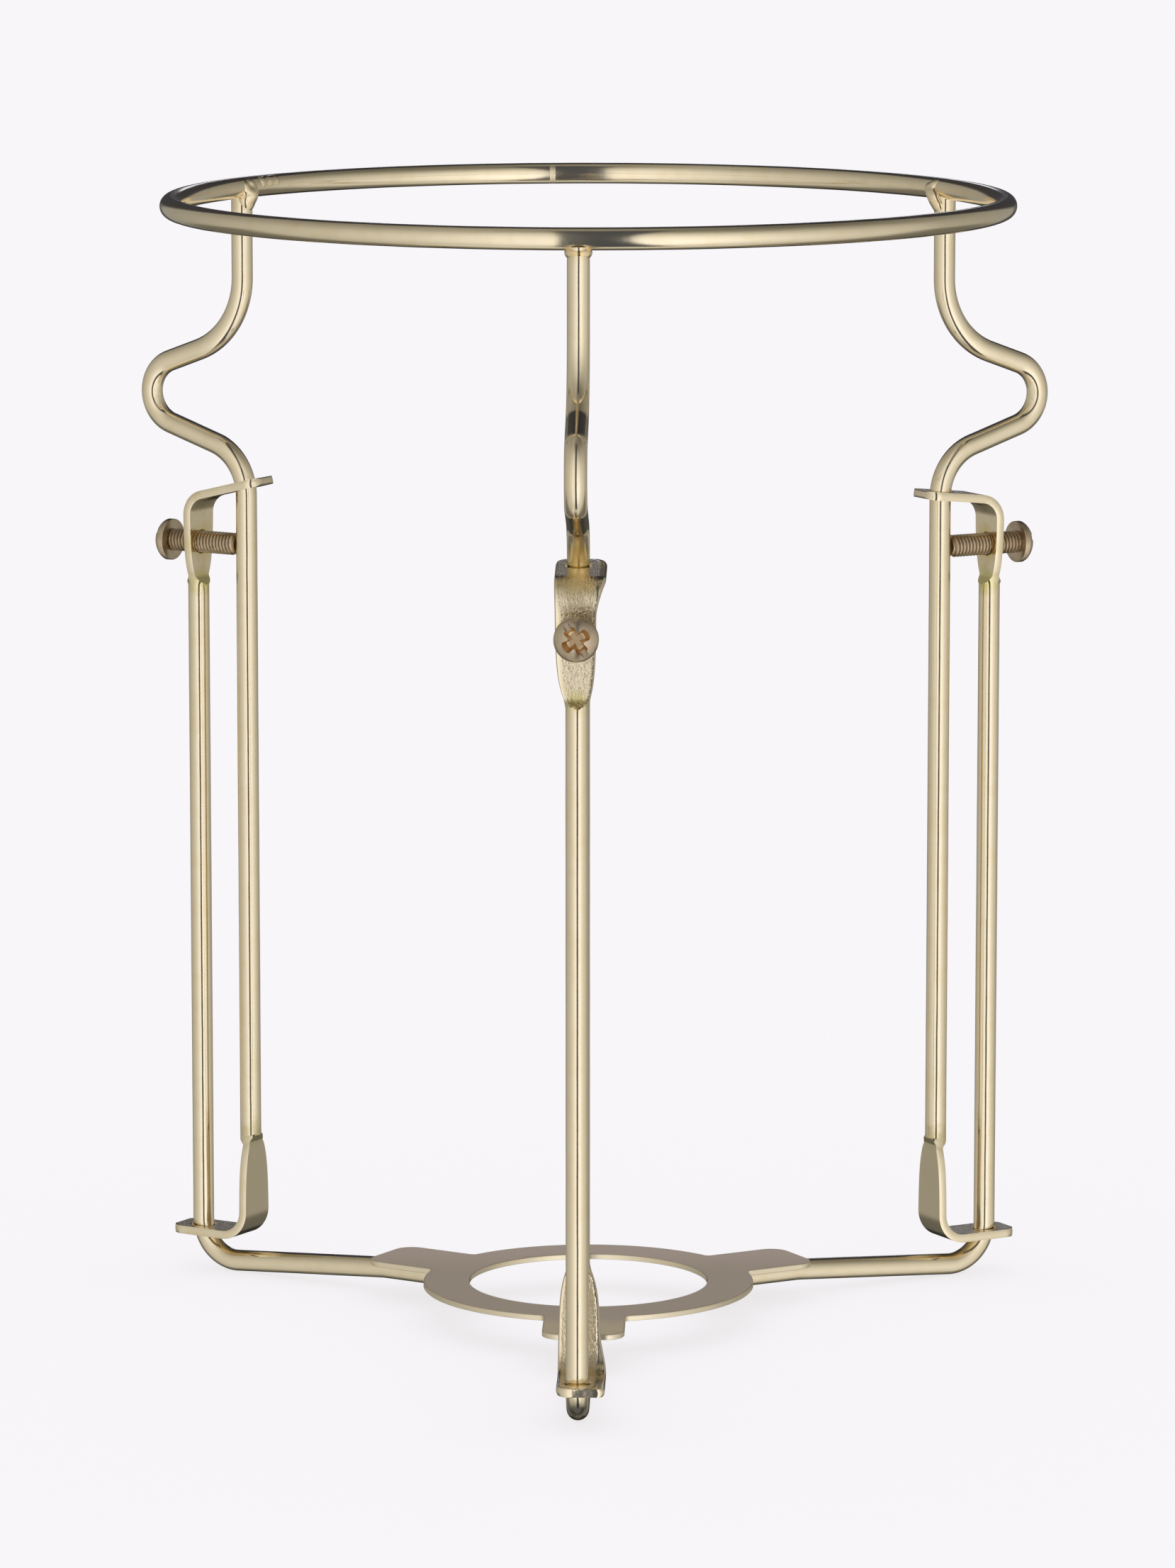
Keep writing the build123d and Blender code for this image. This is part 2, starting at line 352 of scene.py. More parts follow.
@dataclass(frozen=True)
class Plating:
    """Thin bright plating on steel wire, round or pressed flat."""

    name: str
    colour: Colour = (0.885, 0.765, 0.55)
    warm: Colour = (0.84, 0.70, 0.46)
    warm_share: float = 0.5
    warm_patch: Range = (0.45, 0.7)
    pitted: Colour = (0.74, 0.62, 0.42)
    pitted_share: float = 0.9
    roughness: float = 0.11
    grain_roughness: float = 0.04
    bare_roughness: float = 0.06
    struck_roughness: float = 0.09
    ripple: float = 0.016
    ripple_stretch: Stretch = (0.22, 0.9, 0.9)
    tremble: float = 0.0030
    tremble_stretch: Stretch = (0.8, 0.6, 0.6)
    grain: float = 0.0008
    grain_stretch: Stretch = (0.6, 1.0, 1.0)
    grain_scale: float = 5.0
    pit: float = 0.085
    pit_stretch: Stretch = (0.7, 1.0, 1.0)
    pit_scale: float = 3.6
    pit_floor: Range = (0.38, 0.48)
    pit_side: float = 0.0
    dull: Colour = (0.64, 0.555, 0.39)
    dull_share: float = 0.8
    dull_side: float = 0.0
    face: Range = (0.2, 0.45)
    struck_margin: Range = (0.08, 0.5)
    inside_margin: Range = (0.05, 0.2)
    bare_margin: Range = (0.2, 0.5)
    ragged_scale: float = 900.0
    seed: float = 0.0
    stains: tuple[Stain, ...] = ()

    def build(self) -> bpy.types.Material:
        """Makes the material.

        Returns:
            A material that reads the wire's own "skin", "margin" and "press" attributes.
        """
        material, tree, shader = new_material(self.name)
        skin = tree.arrow("ShaderNodeAttribute", {"attribute_name": "skin"}, {}, "Vector")
        margin = tree.attribute("margin")
        press = tree.attribute("press")
        _, _, depth = skin.parts()

        ripple = tree.noise(skin.times(self.ripple_stretch), 1.0, 1.0, self.seed)
        tremble = tree.noise(skin.times(self.tremble_stretch), 1.0, 1.0, self.seed + 2.0)
        grain = tree.noise(skin.times(self.grain_stretch), self.grain_scale, 2.0, self.seed + 3.0)
        pits = tree.noise(skin.times(self.pit_stretch), self.pit_scale, 2.0, self.seed + 5.0, 0.6)
        struck = press * margin.between(*self.struck_margin)
        struck = struck * (depth * self.pit_side).between(*self.face)
        inside = press * margin.between(*self.inside_margin)
        inside = inside * (depth * self.dull_side).between(*self.face)
        bare = press * margin.between(*self.bare_margin)

        warmth = tree.noise(skin, 0.5, 2.0, self.seed + 8.0).between(*self.warm_patch)
        colour = tree.mix(warmth * self.warm_share, (*self.colour, 1.0), (*self.warm, 1.0))
        colour = tree.mix(inside * self.dull_share, colour, (*self.dull, 1.0))
        mottle = struck * (1 - pits.between(*self.pit_floor))
        colour = tree.mix(mottle * self.pitted_share, colour, (*self.pitted, 1.0))
        place = tree.arrow("ShaderNodeTexCoord", {}, {}, "Object")
        ragged = tree.noise(place, self.ragged_scale, 3.0, self.seed + 11.0)
        # Stains, and the painted dark reflections under the front bump and at the front post's foot, are
        # mixed into the colour.
        for mark in self.stains:
            reach = mark.reach * MM
            near = place.distance(mark.place * MM) + (ragged - 0.5) * (reach * mark.ragged)
            fade = 1 - near.between(reach * mark.core, reach)
            colour = tree.mix(fade * mark.strength, colour, (*mark.tint.value, 1.0))

        rough = grain * self.grain_roughness + bare * self.bare_roughness
        rough = rough + struck * self.struck_roughness + self.roughness
        height = ripple * self.ripple + tremble * self.tremble + grain * self.grain
        normal = tree.bump(height + pits * struck * self.pit)
        tree.feed(shader, {"Metallic": 1.0, "Base Color": colour, "Roughness": rough, "Normal": normal})
        return material


@dataclass(frozen=True)
class SatinPlate:
    """Satin plating on sheet, with bright cut edges."""

    name: str = "satin_plate"
    face: Colour = (0.43, 0.347, 0.263)
    cloudy: float = 1.12
    # Painted warm, brighter reflection towards the front tab.
    near_colour: Colour = (0.60, 0.48, 0.285)
    near_share: float = 0.75
    near_reach: Range = (0.021, 0.027)
    # Painted paler, brighter reflection towards the back, where the plate is seen at a grazing angle.
    far_colour: Colour = (0.60, 0.48, 0.40)
    far_share: float = 0.55
    far_reach: Range = (0.004, 0.018)
    cloud_scale: float = 90.0
    cloud_height: float = 0.05
    speck: Colour = (0.30, 0.26, 0.21)
    speck_share: float = 0.5
    speck_scale: float = 2600.0
    speck_size: Range = (0.62, 0.76)
    cut: Colour = (0.86, 0.75, 0.55)
    metal: float = 0.45
    roughness: float = 0.42
    cut_gloss: float = 0.2
    fine_scale: float = 1500.0
    fine_roughness: float = 0.08
    fine_height: float = 0.006

    def build(self) -> bpy.types.Material:
        """Makes the material.

        Returns:
            A material that reads the plate's own "edge" attribute, with a painted warm reflection near its
            front tab and a painted paler reflection towards its back.
        """
        material, tree, shader = new_material(self.name)
        place = tree.arrow("ShaderNodeTexCoord", {}, {}, "Object")
        edge = tree.attribute("edge")
        specks = tree.noise(place, self.speck_scale, 3.0, 1.0).between(*self.speck_size)
        cloud = tree.noise(place, self.cloud_scale, 3.0, 2.0)
        fine = tree.noise(place, self.fine_scale, 3.0, 4.0)
        _, depth, _ = place.parts()
        paler = tuple(self.cloudy * part for part in self.face)
        colour = tree.mix(cloud, (*self.face, 1.0), (*paler, 1.0))
        # Painted warm reflection towards the front tab.
        near = (depth * -1.0).between(*self.near_reach)
        colour = tree.mix(near * self.near_share, colour, (*self.near_colour, 1.0))
        # Painted paler reflection towards the back.
        far = depth.between(*self.far_reach)
        colour = tree.mix(far * self.far_share, colour, (*self.far_colour, 1.0))
        colour = tree.mix(specks * self.speck_share, colour, (*self.speck, 1.0))
        colour = tree.mix(edge, colour, (*self.cut, 1.0))
        metal = edge * (1 - self.metal) + self.metal
        rough = self.roughness - edge * self.cut_gloss + fine * self.fine_roughness
        normal = tree.bump(fine * self.fine_height + cloud * self.cloud_height)
        tree.feed(shader, {"Metallic": metal, "Base Color": colour, "Roughness": rough, "Normal": normal})
        return material


@dataclass(frozen=True)
class ScrewBrass:
    """Turned brass, duller than the plating."""

    name: str = "screw_brass"
    colour: Colour = (0.60, 0.485, 0.345)
    dark: Colour = (0.34, 0.24, 0.15)
    dark_share: float = 0.6
    dark_patch: Range = (0.45, 0.75)
    root_share: float = 0.75
    root_roughness: float = 0.15
    cloud_scale: float = 700.0
    cloud_roughness: float = 0.15
    cloud_height: float = 0.01
    fine_scale: float = 3500.0
    fine_height: float = 0.006
    recess: Colour = (0.70, 0.51, 0.30)
    wall: Colour = (0.50, 0.36, 0.21)
    roughness: float = 0.22

    def build_recess(self) -> bpy.types.Material:
        """Makes the warmer, darker finish down in the cross."""
        return replace(self, name="screw_recess", colour=self.recess, dark=self.wall).build()

    def build(self) -> bpy.types.Material:
        """Makes the material.

        Returns:
            A material that darkens where the shank's "root" attribute says that the thread is cut.
        """
        material, tree, shader = new_material(self.name)
        place = tree.arrow("ShaderNodeTexCoord", {}, {}, "Object")
        cloud = tree.noise(place, self.cloud_scale, 3.0, 1.0)
        fine = tree.noise(place, self.fine_scale, 2.0, 4.0)
        root = tree.attribute("root")
        tarnish = cloud.between(*self.dark_patch)
        colour = tree.mix(tarnish * self.dark_share, (*self.colour, 1.0), (*self.dark, 1.0))
        colour = tree.mix(root * self.root_share, colour, (*self.dark, 1.0))
        rough = cloud * self.cloud_roughness + root * self.root_roughness + self.roughness
        normal = tree.bump(fine * self.fine_height + cloud * self.cloud_height)
        tree.feed(shader, {"Metallic": 1.0, "Base Color": colour, "Roughness": rough, "Normal": normal})
        return material


@dataclass(frozen=True)
class Studio:
    """Pale floor, plain soft light, and the light tent that the bright plating mirrors."""

    white: Colour = (0.939, 0.922, 0.948)
    shadow: float = 0.24
    floor_reach: float = 9.0
    gap: Colour = (0.066, 0.074, 0.095)
    gap_left: float = -0.060
    gap_right: float = 0.215
    gap_rim: Range = (-0.02, 0.02)
    gap_ahead: Range = (-0.05, 0.15)
    tent: Levels = (
        (-180, 0.30), (-160, 0.32), (-135, 0.37), (-105, 0.49), (-78, 0.58), (-55, 0.69), (-38, 0.82),
        (-24, 0.96), (-13, 1.06), (0, 1.09), (16, 1.12), (26, 1.12), (39, 1.02), (57, 0.80), (79, 0.65),
        (98, 0.56), (112, 0.42), (137, 0.35), (160, 0.32), (180, 0.30),
    )
    height_left: Levels = (
        (-90, 0.80), (-68, 0.92), (-53, 1.03), (-21, 1.04), (0, 1.0), (12, 0.97), (24, 0.90), (38, 0.81),
        (52, 0.72), (67, 0.58), (80, 0.42), (90, 0.36),
    )
    height_right: Levels = (
        (-90, 0.80), (-68, 0.98), (-53, 1.12), (-21, 1.12), (0, 1.0), (12, 0.93), (24, 0.80), (38, 0.64),
        (52, 0.46), (67, 0.29), (80, 0.20), (90, 0.17),
    )
    pole: Range = (0.85, 1.0)
    pole_level: float = 0.85
    left_to_right: Range = (-0.35, 0.35)
    opening: Vector = field(default_factory=lambda: Vector((0.0, 0.906, 0.423)))
    opening_rim: Range = (0.83, 0.89)
    dark_behind: float = 0.86
    dark_blue: float = 0.013
    patch_aside: Range = (0.27, 0.31)
    patch_top: Range = (-0.05, 0.05)
    patch_foot: Range = (-0.80, -0.66)
    patch_behind: Range = (0.05, 0.20)
    dark_below: float = 0.78
    under_behind: Range = (0.10, 0.45)
    under_top: Range = (-0.45, -0.25)
    dark_under: float = 0.55
    backdrop: Colour = (1.10, 1.18, 1.42)
    backdrop_foot: Range = (0.17, 0.19)
    backdrop_top: Range = (0.25, 0.27)
    backdrop_behind: Range = (0.72, 0.90)
    backdrop_aside: Range = (0.07, 0.09)
    green_loss: float = 0.02
    blue_loss: float = 0.14

    def light(self) -> None:
        """Makes the world: even light on pale surfaces, and the tent in mirrored rays.

        The tent is bright beside the camera and falls off around and above. It has a narrow dark gap
        ahead, a dark opening high behind, a dark patch low behind and a small bright backdrop.
        """
        world = bpy.data.worlds.new("studio")
        bpy.context.scene.world = world
        world.use_nodes = True
        tree = Tree(world.node_tree)
        ray = tree.arrow("ShaderNodeTexCoord", {}, {}, "Generated")
        x, y, z = ray.parts()
        turn = x.math("ARCTAN2", y * -1.0) * math.degrees(1.0)
        rise = z.math("ARCSINE") * math.degrees(1.0)
        round_about = self._ramp(tree, turn / 360.0 + 0.5, self.tent, 360.0)
        on_left = self._ramp(tree, rise / 180.0 + 0.5, self.height_left, 180.0)
        on_right = self._ramp(tree, rise / 180.0 + 0.5, self.height_right, 180.0)
        pole = z.math("ABSOLUTE").between(*self.pole)
        up_and_down = on_left + (on_right - on_left) * x.between(*self.left_to_right)
        level = (round_about * (1 - pole) + pole * self.pole_level) * up_and_down

        opened = ray.dot(tuple(self.opening)).between(*self.opening_rim)
        level = level * (1 - opened * self.dark_behind)
        aside = x.math("ABSOLUTE")
        centred = 1 - aside.between(*self.patch_aside)
        low = (1 - z.between(*self.patch_top)) * z.between(*self.patch_foot)
        low = low * y.between(*self.patch_behind)
        level = level * (1 - centred * low * (1 - opened) * self.dark_below)
        under = y.between(*self.under_behind) * (1 - z.between(*self.under_top))
        level = level * (1 - under * self.dark_under)

        band = z.between(*self.backdrop_foot) * (1 - z.between(*self.backdrop_top))
        band = band * y.between(*self.backdrop_behind)
        band = band * (1 - aside.between(*self.backdrop_aside))
        left = (x - self.gap_left).between(*self.gap_rim)
        right = (self.gap_right - x).between(*self.gap_rim)
        gap = left * right * (y * -1.0).between(*self.gap_ahead)

        green = level * (level * self.green_loss + (1 - self.green_loss))
        blue = level * (level * self.blue_loss + (1 - self.blue_loss)) + opened * self.dark_blue
        red, green, blue = (
            part + band * glow for part, glow in zip((level, green, blue), self.backdrop)
        )
        tent = tree.arrow("ShaderNodeCombineXYZ", {}, {0: red, 1: green, 2: blue})
        mirrored = tree.mix(gap, tent, (*self.gap, 1.0))
        rays = "ShaderNodeLightPath"
        glossy = tree.value(rays, {}, {}, "Is Glossy Ray")
        seen = tree.value(rays, {}, {}, "Is Camera Ray") + tree.value(rays, {}, {}, "Is Transmission Ray")
        even = tree.mix(seen, (1.0, 1.0, 1.0, 1.0), (*self.white, 1.0))
        tree.feed(world.node_tree.nodes["Background"], {"Color": tree.mix(glossy, even, mirrored)})

    def lay_floor(self) -> None:
        """Makes the pale floor, which keeps the soft shadows."""
        material, tree, shader = new_material("pale_floor")
        shaded = [part * self.shadow for part in self.white]
        glow = [part - dim for part, dim in zip(self.white, shaded)]
        tree.feed(shader, {
            "Base Color": (*shaded, 1.0),
            "Emission Color": (*glow, 1.0),
            "Emission Strength": 1.0,
            "Roughness": 1.0,
            "Specular IOR Level": 0.0,
        })
        mesh = bpy.data.meshes.new("floor")
        reach = self.floor_reach
        corners = [(-reach, -reach, 0), (reach, -reach, 0), (reach, reach, 0), (-reach, reach, 0)]
        mesh.from_pydata(corners, [], [(0, 1, 2, 3)])
        mesh.materials.append(material)
        floor = bpy.data.objects.new("floor", mesh)
        bpy.context.collection.objects.link(floor)
        floor.visible_glossy = False

    @staticmethod
    def _ramp(tree: Tree, factor: Value, stops: Levels, span: float) -> Value:
        """Looks a level up between (degrees, level) stops that are centred on 0."""
        grey = [(degrees / span + 0.5, (level / 2, level / 2, level / 2)) for degrees, level in stops]
        return tree.value("ShaderNodeValToRGB", {"stops": grey}, {"Fac": factor}) * 2.0


@dataclass(frozen=True)
class Viewpoint:
    """The photograph's camera, in millimetres and degrees."""

    place: Vector = field(default_factory=lambda: Vector((21.482, -947.306, 217.886)))
    heading: float = 1.3056
    pitch: float = -8.894
    lens: float = 173.008
    sensor: float = 36.0
    clip: Range = (0.05, 50.0)

    def build(self) -> None:
        """Makes the camera and sets it as the scene's."""
        data = bpy.data.cameras.new("camera")
        data.lens = self.lens
        data.sensor_width = self.sensor
        data.clip_start, data.clip_end = self.clip
        camera = bpy.data.objects.new("camera", data)
        camera.location = self.place * MM
        angles = (math.radians(90.0 + self.pitch), 0.0, math.radians(self.heading))
        camera.rotation_euler = Euler(angles, "XYZ")
        bpy.context.collection.objects.link(camera)
        bpy.context.scene.camera = camera


class Shop:
    """Turns meshes into finished pieces."""

    crease = math.radians(24.0)

    @staticmethod
    def add(name: str, mesh: bpy.types.Mesh) -> bpy.types.Object:
        """Puts a mesh into the scene as an object at the origin.

        Args:
            name: The object's name.
            mesh: Its mesh, in metres and in place.

        Returns:
            The object.
        """
        item = bpy.data.objects.new(name, mesh)
        bpy.context.collection.objects.link(item)
        return item

    @staticmethod
    def freeze(item: bpy.types.Object, cutters: list[bpy.types.Object]) -> bpy.types.Object:
        """Turns an object with modifiers into a plain mesh.

        Args:
            item: The object, which is deleted.
            cutters: Objects that are cut out of it first, which are deleted too.

        Returns:
            The finished object, with its faces outwards.
        """
        for cutter in cutters:
            modifier = item.modifiers.new("cut", "BOOLEAN")
            modifier.operation = "DIFFERENCE"
            modifier.solver = "EXACT"
            modifier.material_mode = "TRANSFER"
            modifier.object = cutter
        name = item.name
        evaluated = item.evaluated_get(bpy.context.evaluated_depsgraph_get())
        mesh = bpy.data.meshes.new_from_object(evaluated)
        item.modifiers.clear()
        for old in (item, *cutters):
            bpy.data.objects.remove(old)
        Shop.face_outwards(mesh)
        mesh.set_sharp_from_angle(angle=Shop.crease)
        mesh.name = name
        return Shop.add(name, mesh)

    @staticmethod
    def face_outwards(mesh: bpy.types.Mesh) -> None:
        """Flips a closed mesh whose faces point inwards, which its signed volume tells.

        Args:
            mesh: The mesh.
        """
        mesh.calc_loop_triangles()
        spots = np.empty(len(mesh.vertices) * 3)
        mesh.vertices.foreach_get("co", spots)
        corners = np.empty(len(mesh.loop_triangles) * 3, dtype=np.int32)
        mesh.loop_triangles.foreach_get("vertices", corners)
        a, b, c = np.moveaxis(spots.reshape(-1, 3)[corners.reshape(-1, 3)], 1, 0)
        if np.einsum("ij,ij->", a, np.cross(b, c)) < 0.0:
            mesh.flip_normals()

    @staticmethod
    def finish(item: bpy.types.Object, body: str, slot: str, node: str | None = None) -> None:
        """Attaches a piece to the body that it moves with, and hides the CAD node that it replaces.

        Args:
            item: The finished piece.
            body: The body that it moves with.
            slot: Not used.
            node: The CAD node that it replaces, if it replaces one.
        """
        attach(item, body)
        if node:
            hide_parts(node)
        faces = len(item.data.polygons)
        LOG.info("%s rides on %s, %d faces", item.name, body, faces)


class SweepTree:
    """Geometry Nodes: sweeps a wire's section along a line whose points carry its sizes.

    Each point of the line has "side" and "along" directions, "left" and "right" half widths, the
    half height "bulge" of the full oval, the height "thick" at which presses cut the oval flat,
    and the "press" and "run" that the finish reads.
    """

    edge_points = 14
    flat_points = 11
    steepest_edge = math.radians(60.0)
    thread_flank = (0.25, 0.95)
    inwards = 1.2

    def __init__(self) -> None:
        """Builds the tree."""
        self.group = bpy.data.node_groups.new("swept_wire", "GeometryNodeTree")
        self.sockets: dict[str, str] = {}
        self._input("Geometry", "NodeSocketGeometry")
        self._input("Ripple", "NodeSocketFloat")
        self._input("Ripple length", "NodeSocketFloat")
        self._input("Thread depth", "NodeSocketFloat")
        self._input("Thread pitch", "NodeSocketFloat")
        self._input("Seed", "NodeSocketFloat")
        self._input("Material", "NodeSocketMaterial")
        self.group.interface.new_socket("Geometry", in_out="OUTPUT", socket_type="NodeSocketGeometry")
        self._fill(Tree(self.group))

    def _input(self, name: str, kind: str) -> None:
        """Adds a named input and keeps its identifier."""
        socket = self.group.interface.new_socket(name, in_out="INPUT", socket_type=kind)
        self.sockets[name] = socket.identifier

    def _fill(self, tree: Tree) -> None:
        """Adds the nodes: the swept tube, its thread, its ripple, and what the finish reads.

        Args:
            tree: The group's tree.
        """
        given = tree.node("NodeGroupInput")
        line = Value(tree, given.outputs["Geometry"])
        spots = 2 * (self.edge_points + self.flat_points)
        section = tree.value("GeometryNodeCurvePrimitiveCircle", {}, {"Resolution": spots, "Radius": 1.0})
        index = tree.value("GeometryNodeInputIndex")
        section = self._store(tree, section, "spot", index, "POINT")
        curve = tree.value("GeometryNodeMeshToCurve", {}, {0: line})
        inputs = {"Curve": curve, "Profile Curve": section, "Fill Caps": True}
        tube = tree.value("GeometryNodeCurveToMesh", {}, inputs)

        # The tube's own places are replaced by the section's, so that nothing twists or shrinks on bends.
        x, y = self._section(tree)
        depth = Value(tree, given.outputs["Thread depth"])
        pitch = Value(tree, given.outputs["Thread pitch"])
        turns = self._read(tree, "run") / pitch - y.math("ARCTAN2", x) / math.tau
        flank = (turns.math("FRACT") * 2.0 - 1.0).math("ABSOLUTE")
        root = flank.between(*self.thread_flank)
        keep = 1 - root * depth
        x = x * keep
        y = y * keep
        side = self._read_arrow(tree, "side")
        along = self._read_arrow(tree, "along")
        centre = self._read_arrow(tree, "centre")
        spot = centre + side.scaled(x * MM) + along.cross(side).scaled(y * MM)
        tube = tree.value("GeometryNodeSetPosition", {}, {"Geometry": tube, "Position": spot})

        place = tree.arrow("GeometryNodeInputPosition")
        length = Value(tree, given.outputs["Ripple length"])
        seed = Value(tree, given.outputs["Seed"])
        noise = tree.noise(place, 1 / length, 1.0, seed)
        normal = tree.arrow("GeometryNodeInputNormal")
        amount = (noise - self.inwards) * Value(tree, given.outputs["Ripple"])
        inputs = {"Geometry": tube, "Offset": normal.scaled(amount)}
        tube = tree.value("GeometryNodeSetPosition", {}, inputs)

        run = self._read(tree, "run")
        skin = tree.arrow("ShaderNodeCombineXYZ", {}, {0: run, 1: x, 2: y})
        tube = self._store(tree, tube, "skin", skin, "CORNER", "FLOAT_VECTOR")
        margin = self._read(tree, "right").math("MINIMUM", self._read(tree, "left")) - x.math("ABSOLUTE")
        tube = self._store(tree, tube, "margin", margin, "CORNER")
        tube = self._store(tree, tube, "root", root * depth.math("GREATER_THAN", 0.0), "CORNER")
        tube = self._store(tree, tube, "press", self._read(tree, "pressed"), "CORNER")
        tube = tree.value("GeometryNodeSetShadeSmooth", {}, {"Geometry": tube})
        tube = tree.value("GeometryNodeRealizeInstances", {}, {"Geometry": tube})
        inputs = {"Geometry": tube, "Material": Value(tree, given.outputs["Material"])}
        tube = tree.value("GeometryNodeSetMaterial", {}, inputs)
        tree.node("NodeGroupOutput", {}, {0: tube})

    def _section(self, tree: Tree) -> tuple[Value, Value]:
        """Where each point of the section lies: an oval whose top and bottom are cut flat.

        Args:
            tree: The group's tree.

        Returns:
            The point's places sideways and up, in millimetres.
        """
        half = self.edge_points + self.flat_points
        spot = self._read(tree, "spot")
        far = spot.math("GREATER_THAN", half - 0.5)
        sign = 1 - far * 2.0
        step = spot - far * half
        bulge = self._read(tree, "bulge")
        thick = self._read(tree, "thick")
        crease = (thick / bulge).math("MINIMUM", 1.0).math("ARCSINE").math("MINIMUM", self.steepest_edge)
        reach = crease.math("COSINE")
        turn = crease * (step * (2.0 / (self.edge_points - 1)) - 1.0)
        flat = (1 - (step - (self.edge_points - 1)) * (2.0 / (self.flat_points + 1))) * reach
        on_flat = step.math("GREATER_THAN", self.edge_points - 0.5)
        rim = ((1 - flat * flat).math("MAXIMUM", 0.0)).math("SQRT") * bulge
        x_edge = turn.math("COSINE")
        y_edge = turn.math("SINE") * bulge
        x = (x_edge + (flat - x_edge) * on_flat) * sign
        y = (y_edge + (rim.math("MINIMUM", thick) - y_edge) * on_flat) * sign
        left = self._read(tree, "left")
        right = self._read(tree, "right")
        width = left + (right - left) * x.math("GREATER_THAN", 0.0)
        return x * width, y

    @staticmethod
    def _store(tree: Tree, geometry: Value, name: str, value: Value, domain: str,
               kind: str = "FLOAT") -> Value:
        """Stores a named attribute.

        Args:
            tree: The group's tree.
            geometry: What the attribute is stored on.
            name: The attribute's name.
            value: Its value.
            domain: Where its values lie.
            kind: Its data type.

        Returns:
            The geometry with the attribute.
        """
        settings = {"data_type": kind, "domain": domain}
        inputs = {"Geometry": geometry, "Name": name, "Value": value}
        return tree.value("GeometryNodeStoreNamedAttribute", settings, inputs)

    @staticmethod
    def _read(tree: Tree, name: str) -> Value:
        """Reads a named number."""
        return tree.value("GeometryNodeInputNamedAttribute", {"data_type": "FLOAT"}, {"Name": name})

    @staticmethod
    def _read_arrow(tree: Tree, name: str) -> Arrow:
        """Reads a named vector."""
        settings = {"data_type": "FLOAT_VECTOR"}
        return tree.arrow("GeometryNodeInputNamedAttribute", settings, {"Name": name})

    def apply(self, item: bpy.types.Object, material: bpy.types.Material, ripple: float = 0.03,
              ripple_length: float = 6.0, thread: tuple[float, float] = (0.0, 0.5),
              seed: float = 0.0) -> None:
        """Adds the tree to a line of points.

        Args:
            item: An object whose mesh is the line.
            material: Its finish.
            ripple: How far the surface wanders inwards, in millimetres.
            ripple_length: How long a wander is, in millimetres.
            thread: The thread's depth as a part of the radius, and its pitch in millimetres.
            seed: Chooses the wanders.
        """
        modifier = item.modifiers.new("sweep", "NODES")
        modifier.node_group = self.group
        values = {
            "Ripple": ripple * MM,
            "Ripple length": ripple_length * MM,
            "Thread depth": thread[0],
            "Thread pitch": thread[1],
            "Seed": seed,
            "Material": material,
        }
        for name, value in values.items():
            modifier[self.sockets[name]] = value


@dataclass
class Station:
    """One point of a wire's line, with its section, in millimetres."""

    centre: Vector
    along: Vector
    side: Vector
    run: float
    left: float = WIRE_RADIUS
    right: float = WIRE_RADIUS
    bulge: float = WIRE_RADIUS
    thick: float = WIRE_RADIUS
    pressed: float = 0.0


class Line:
    """A line of stations that a sweep follows."""

    def __init__(self, stations: list[Station], closed: bool = False) -> None:
        """Keeps the stations."""
        self.stations = stations
        self.closed = closed

    def build(self, name: str) -> bpy.types.Object:
        """Makes the object that carries the line and its named attributes.

        Args:
            name: The object's name.

        Returns:
            The object, without faces.
        """
        stations = self.stations
        count = len(stations)
        edges = [(number, number + 1) for number in range(count - 1)]
        if self.closed:
            edges.append((count - 1, 0))
        mesh = bpy.data.meshes.new(name)
        mesh.from_pydata([tuple(station.centre * MM) for station in stations], edges, [])
        for key, factor in (("centre", MM), ("along", 1.0), ("side", 1.0)):
            attribute = mesh.attributes.new(key, "FLOAT_VECTOR", "POINT")
            flat = [part * factor for station in stations for part in getattr(station, key)]
            attribute.data.foreach_set("vector", flat)
        for key in ("run", "left", "right", "bulge", "thick", "pressed"):
            attribute = mesh.attributes.new(key, "FLOAT", "POINT")
            attribute.data.foreach_set("value", [getattr(station, key) for station in stations])
        return Shop.add(name, mesh)


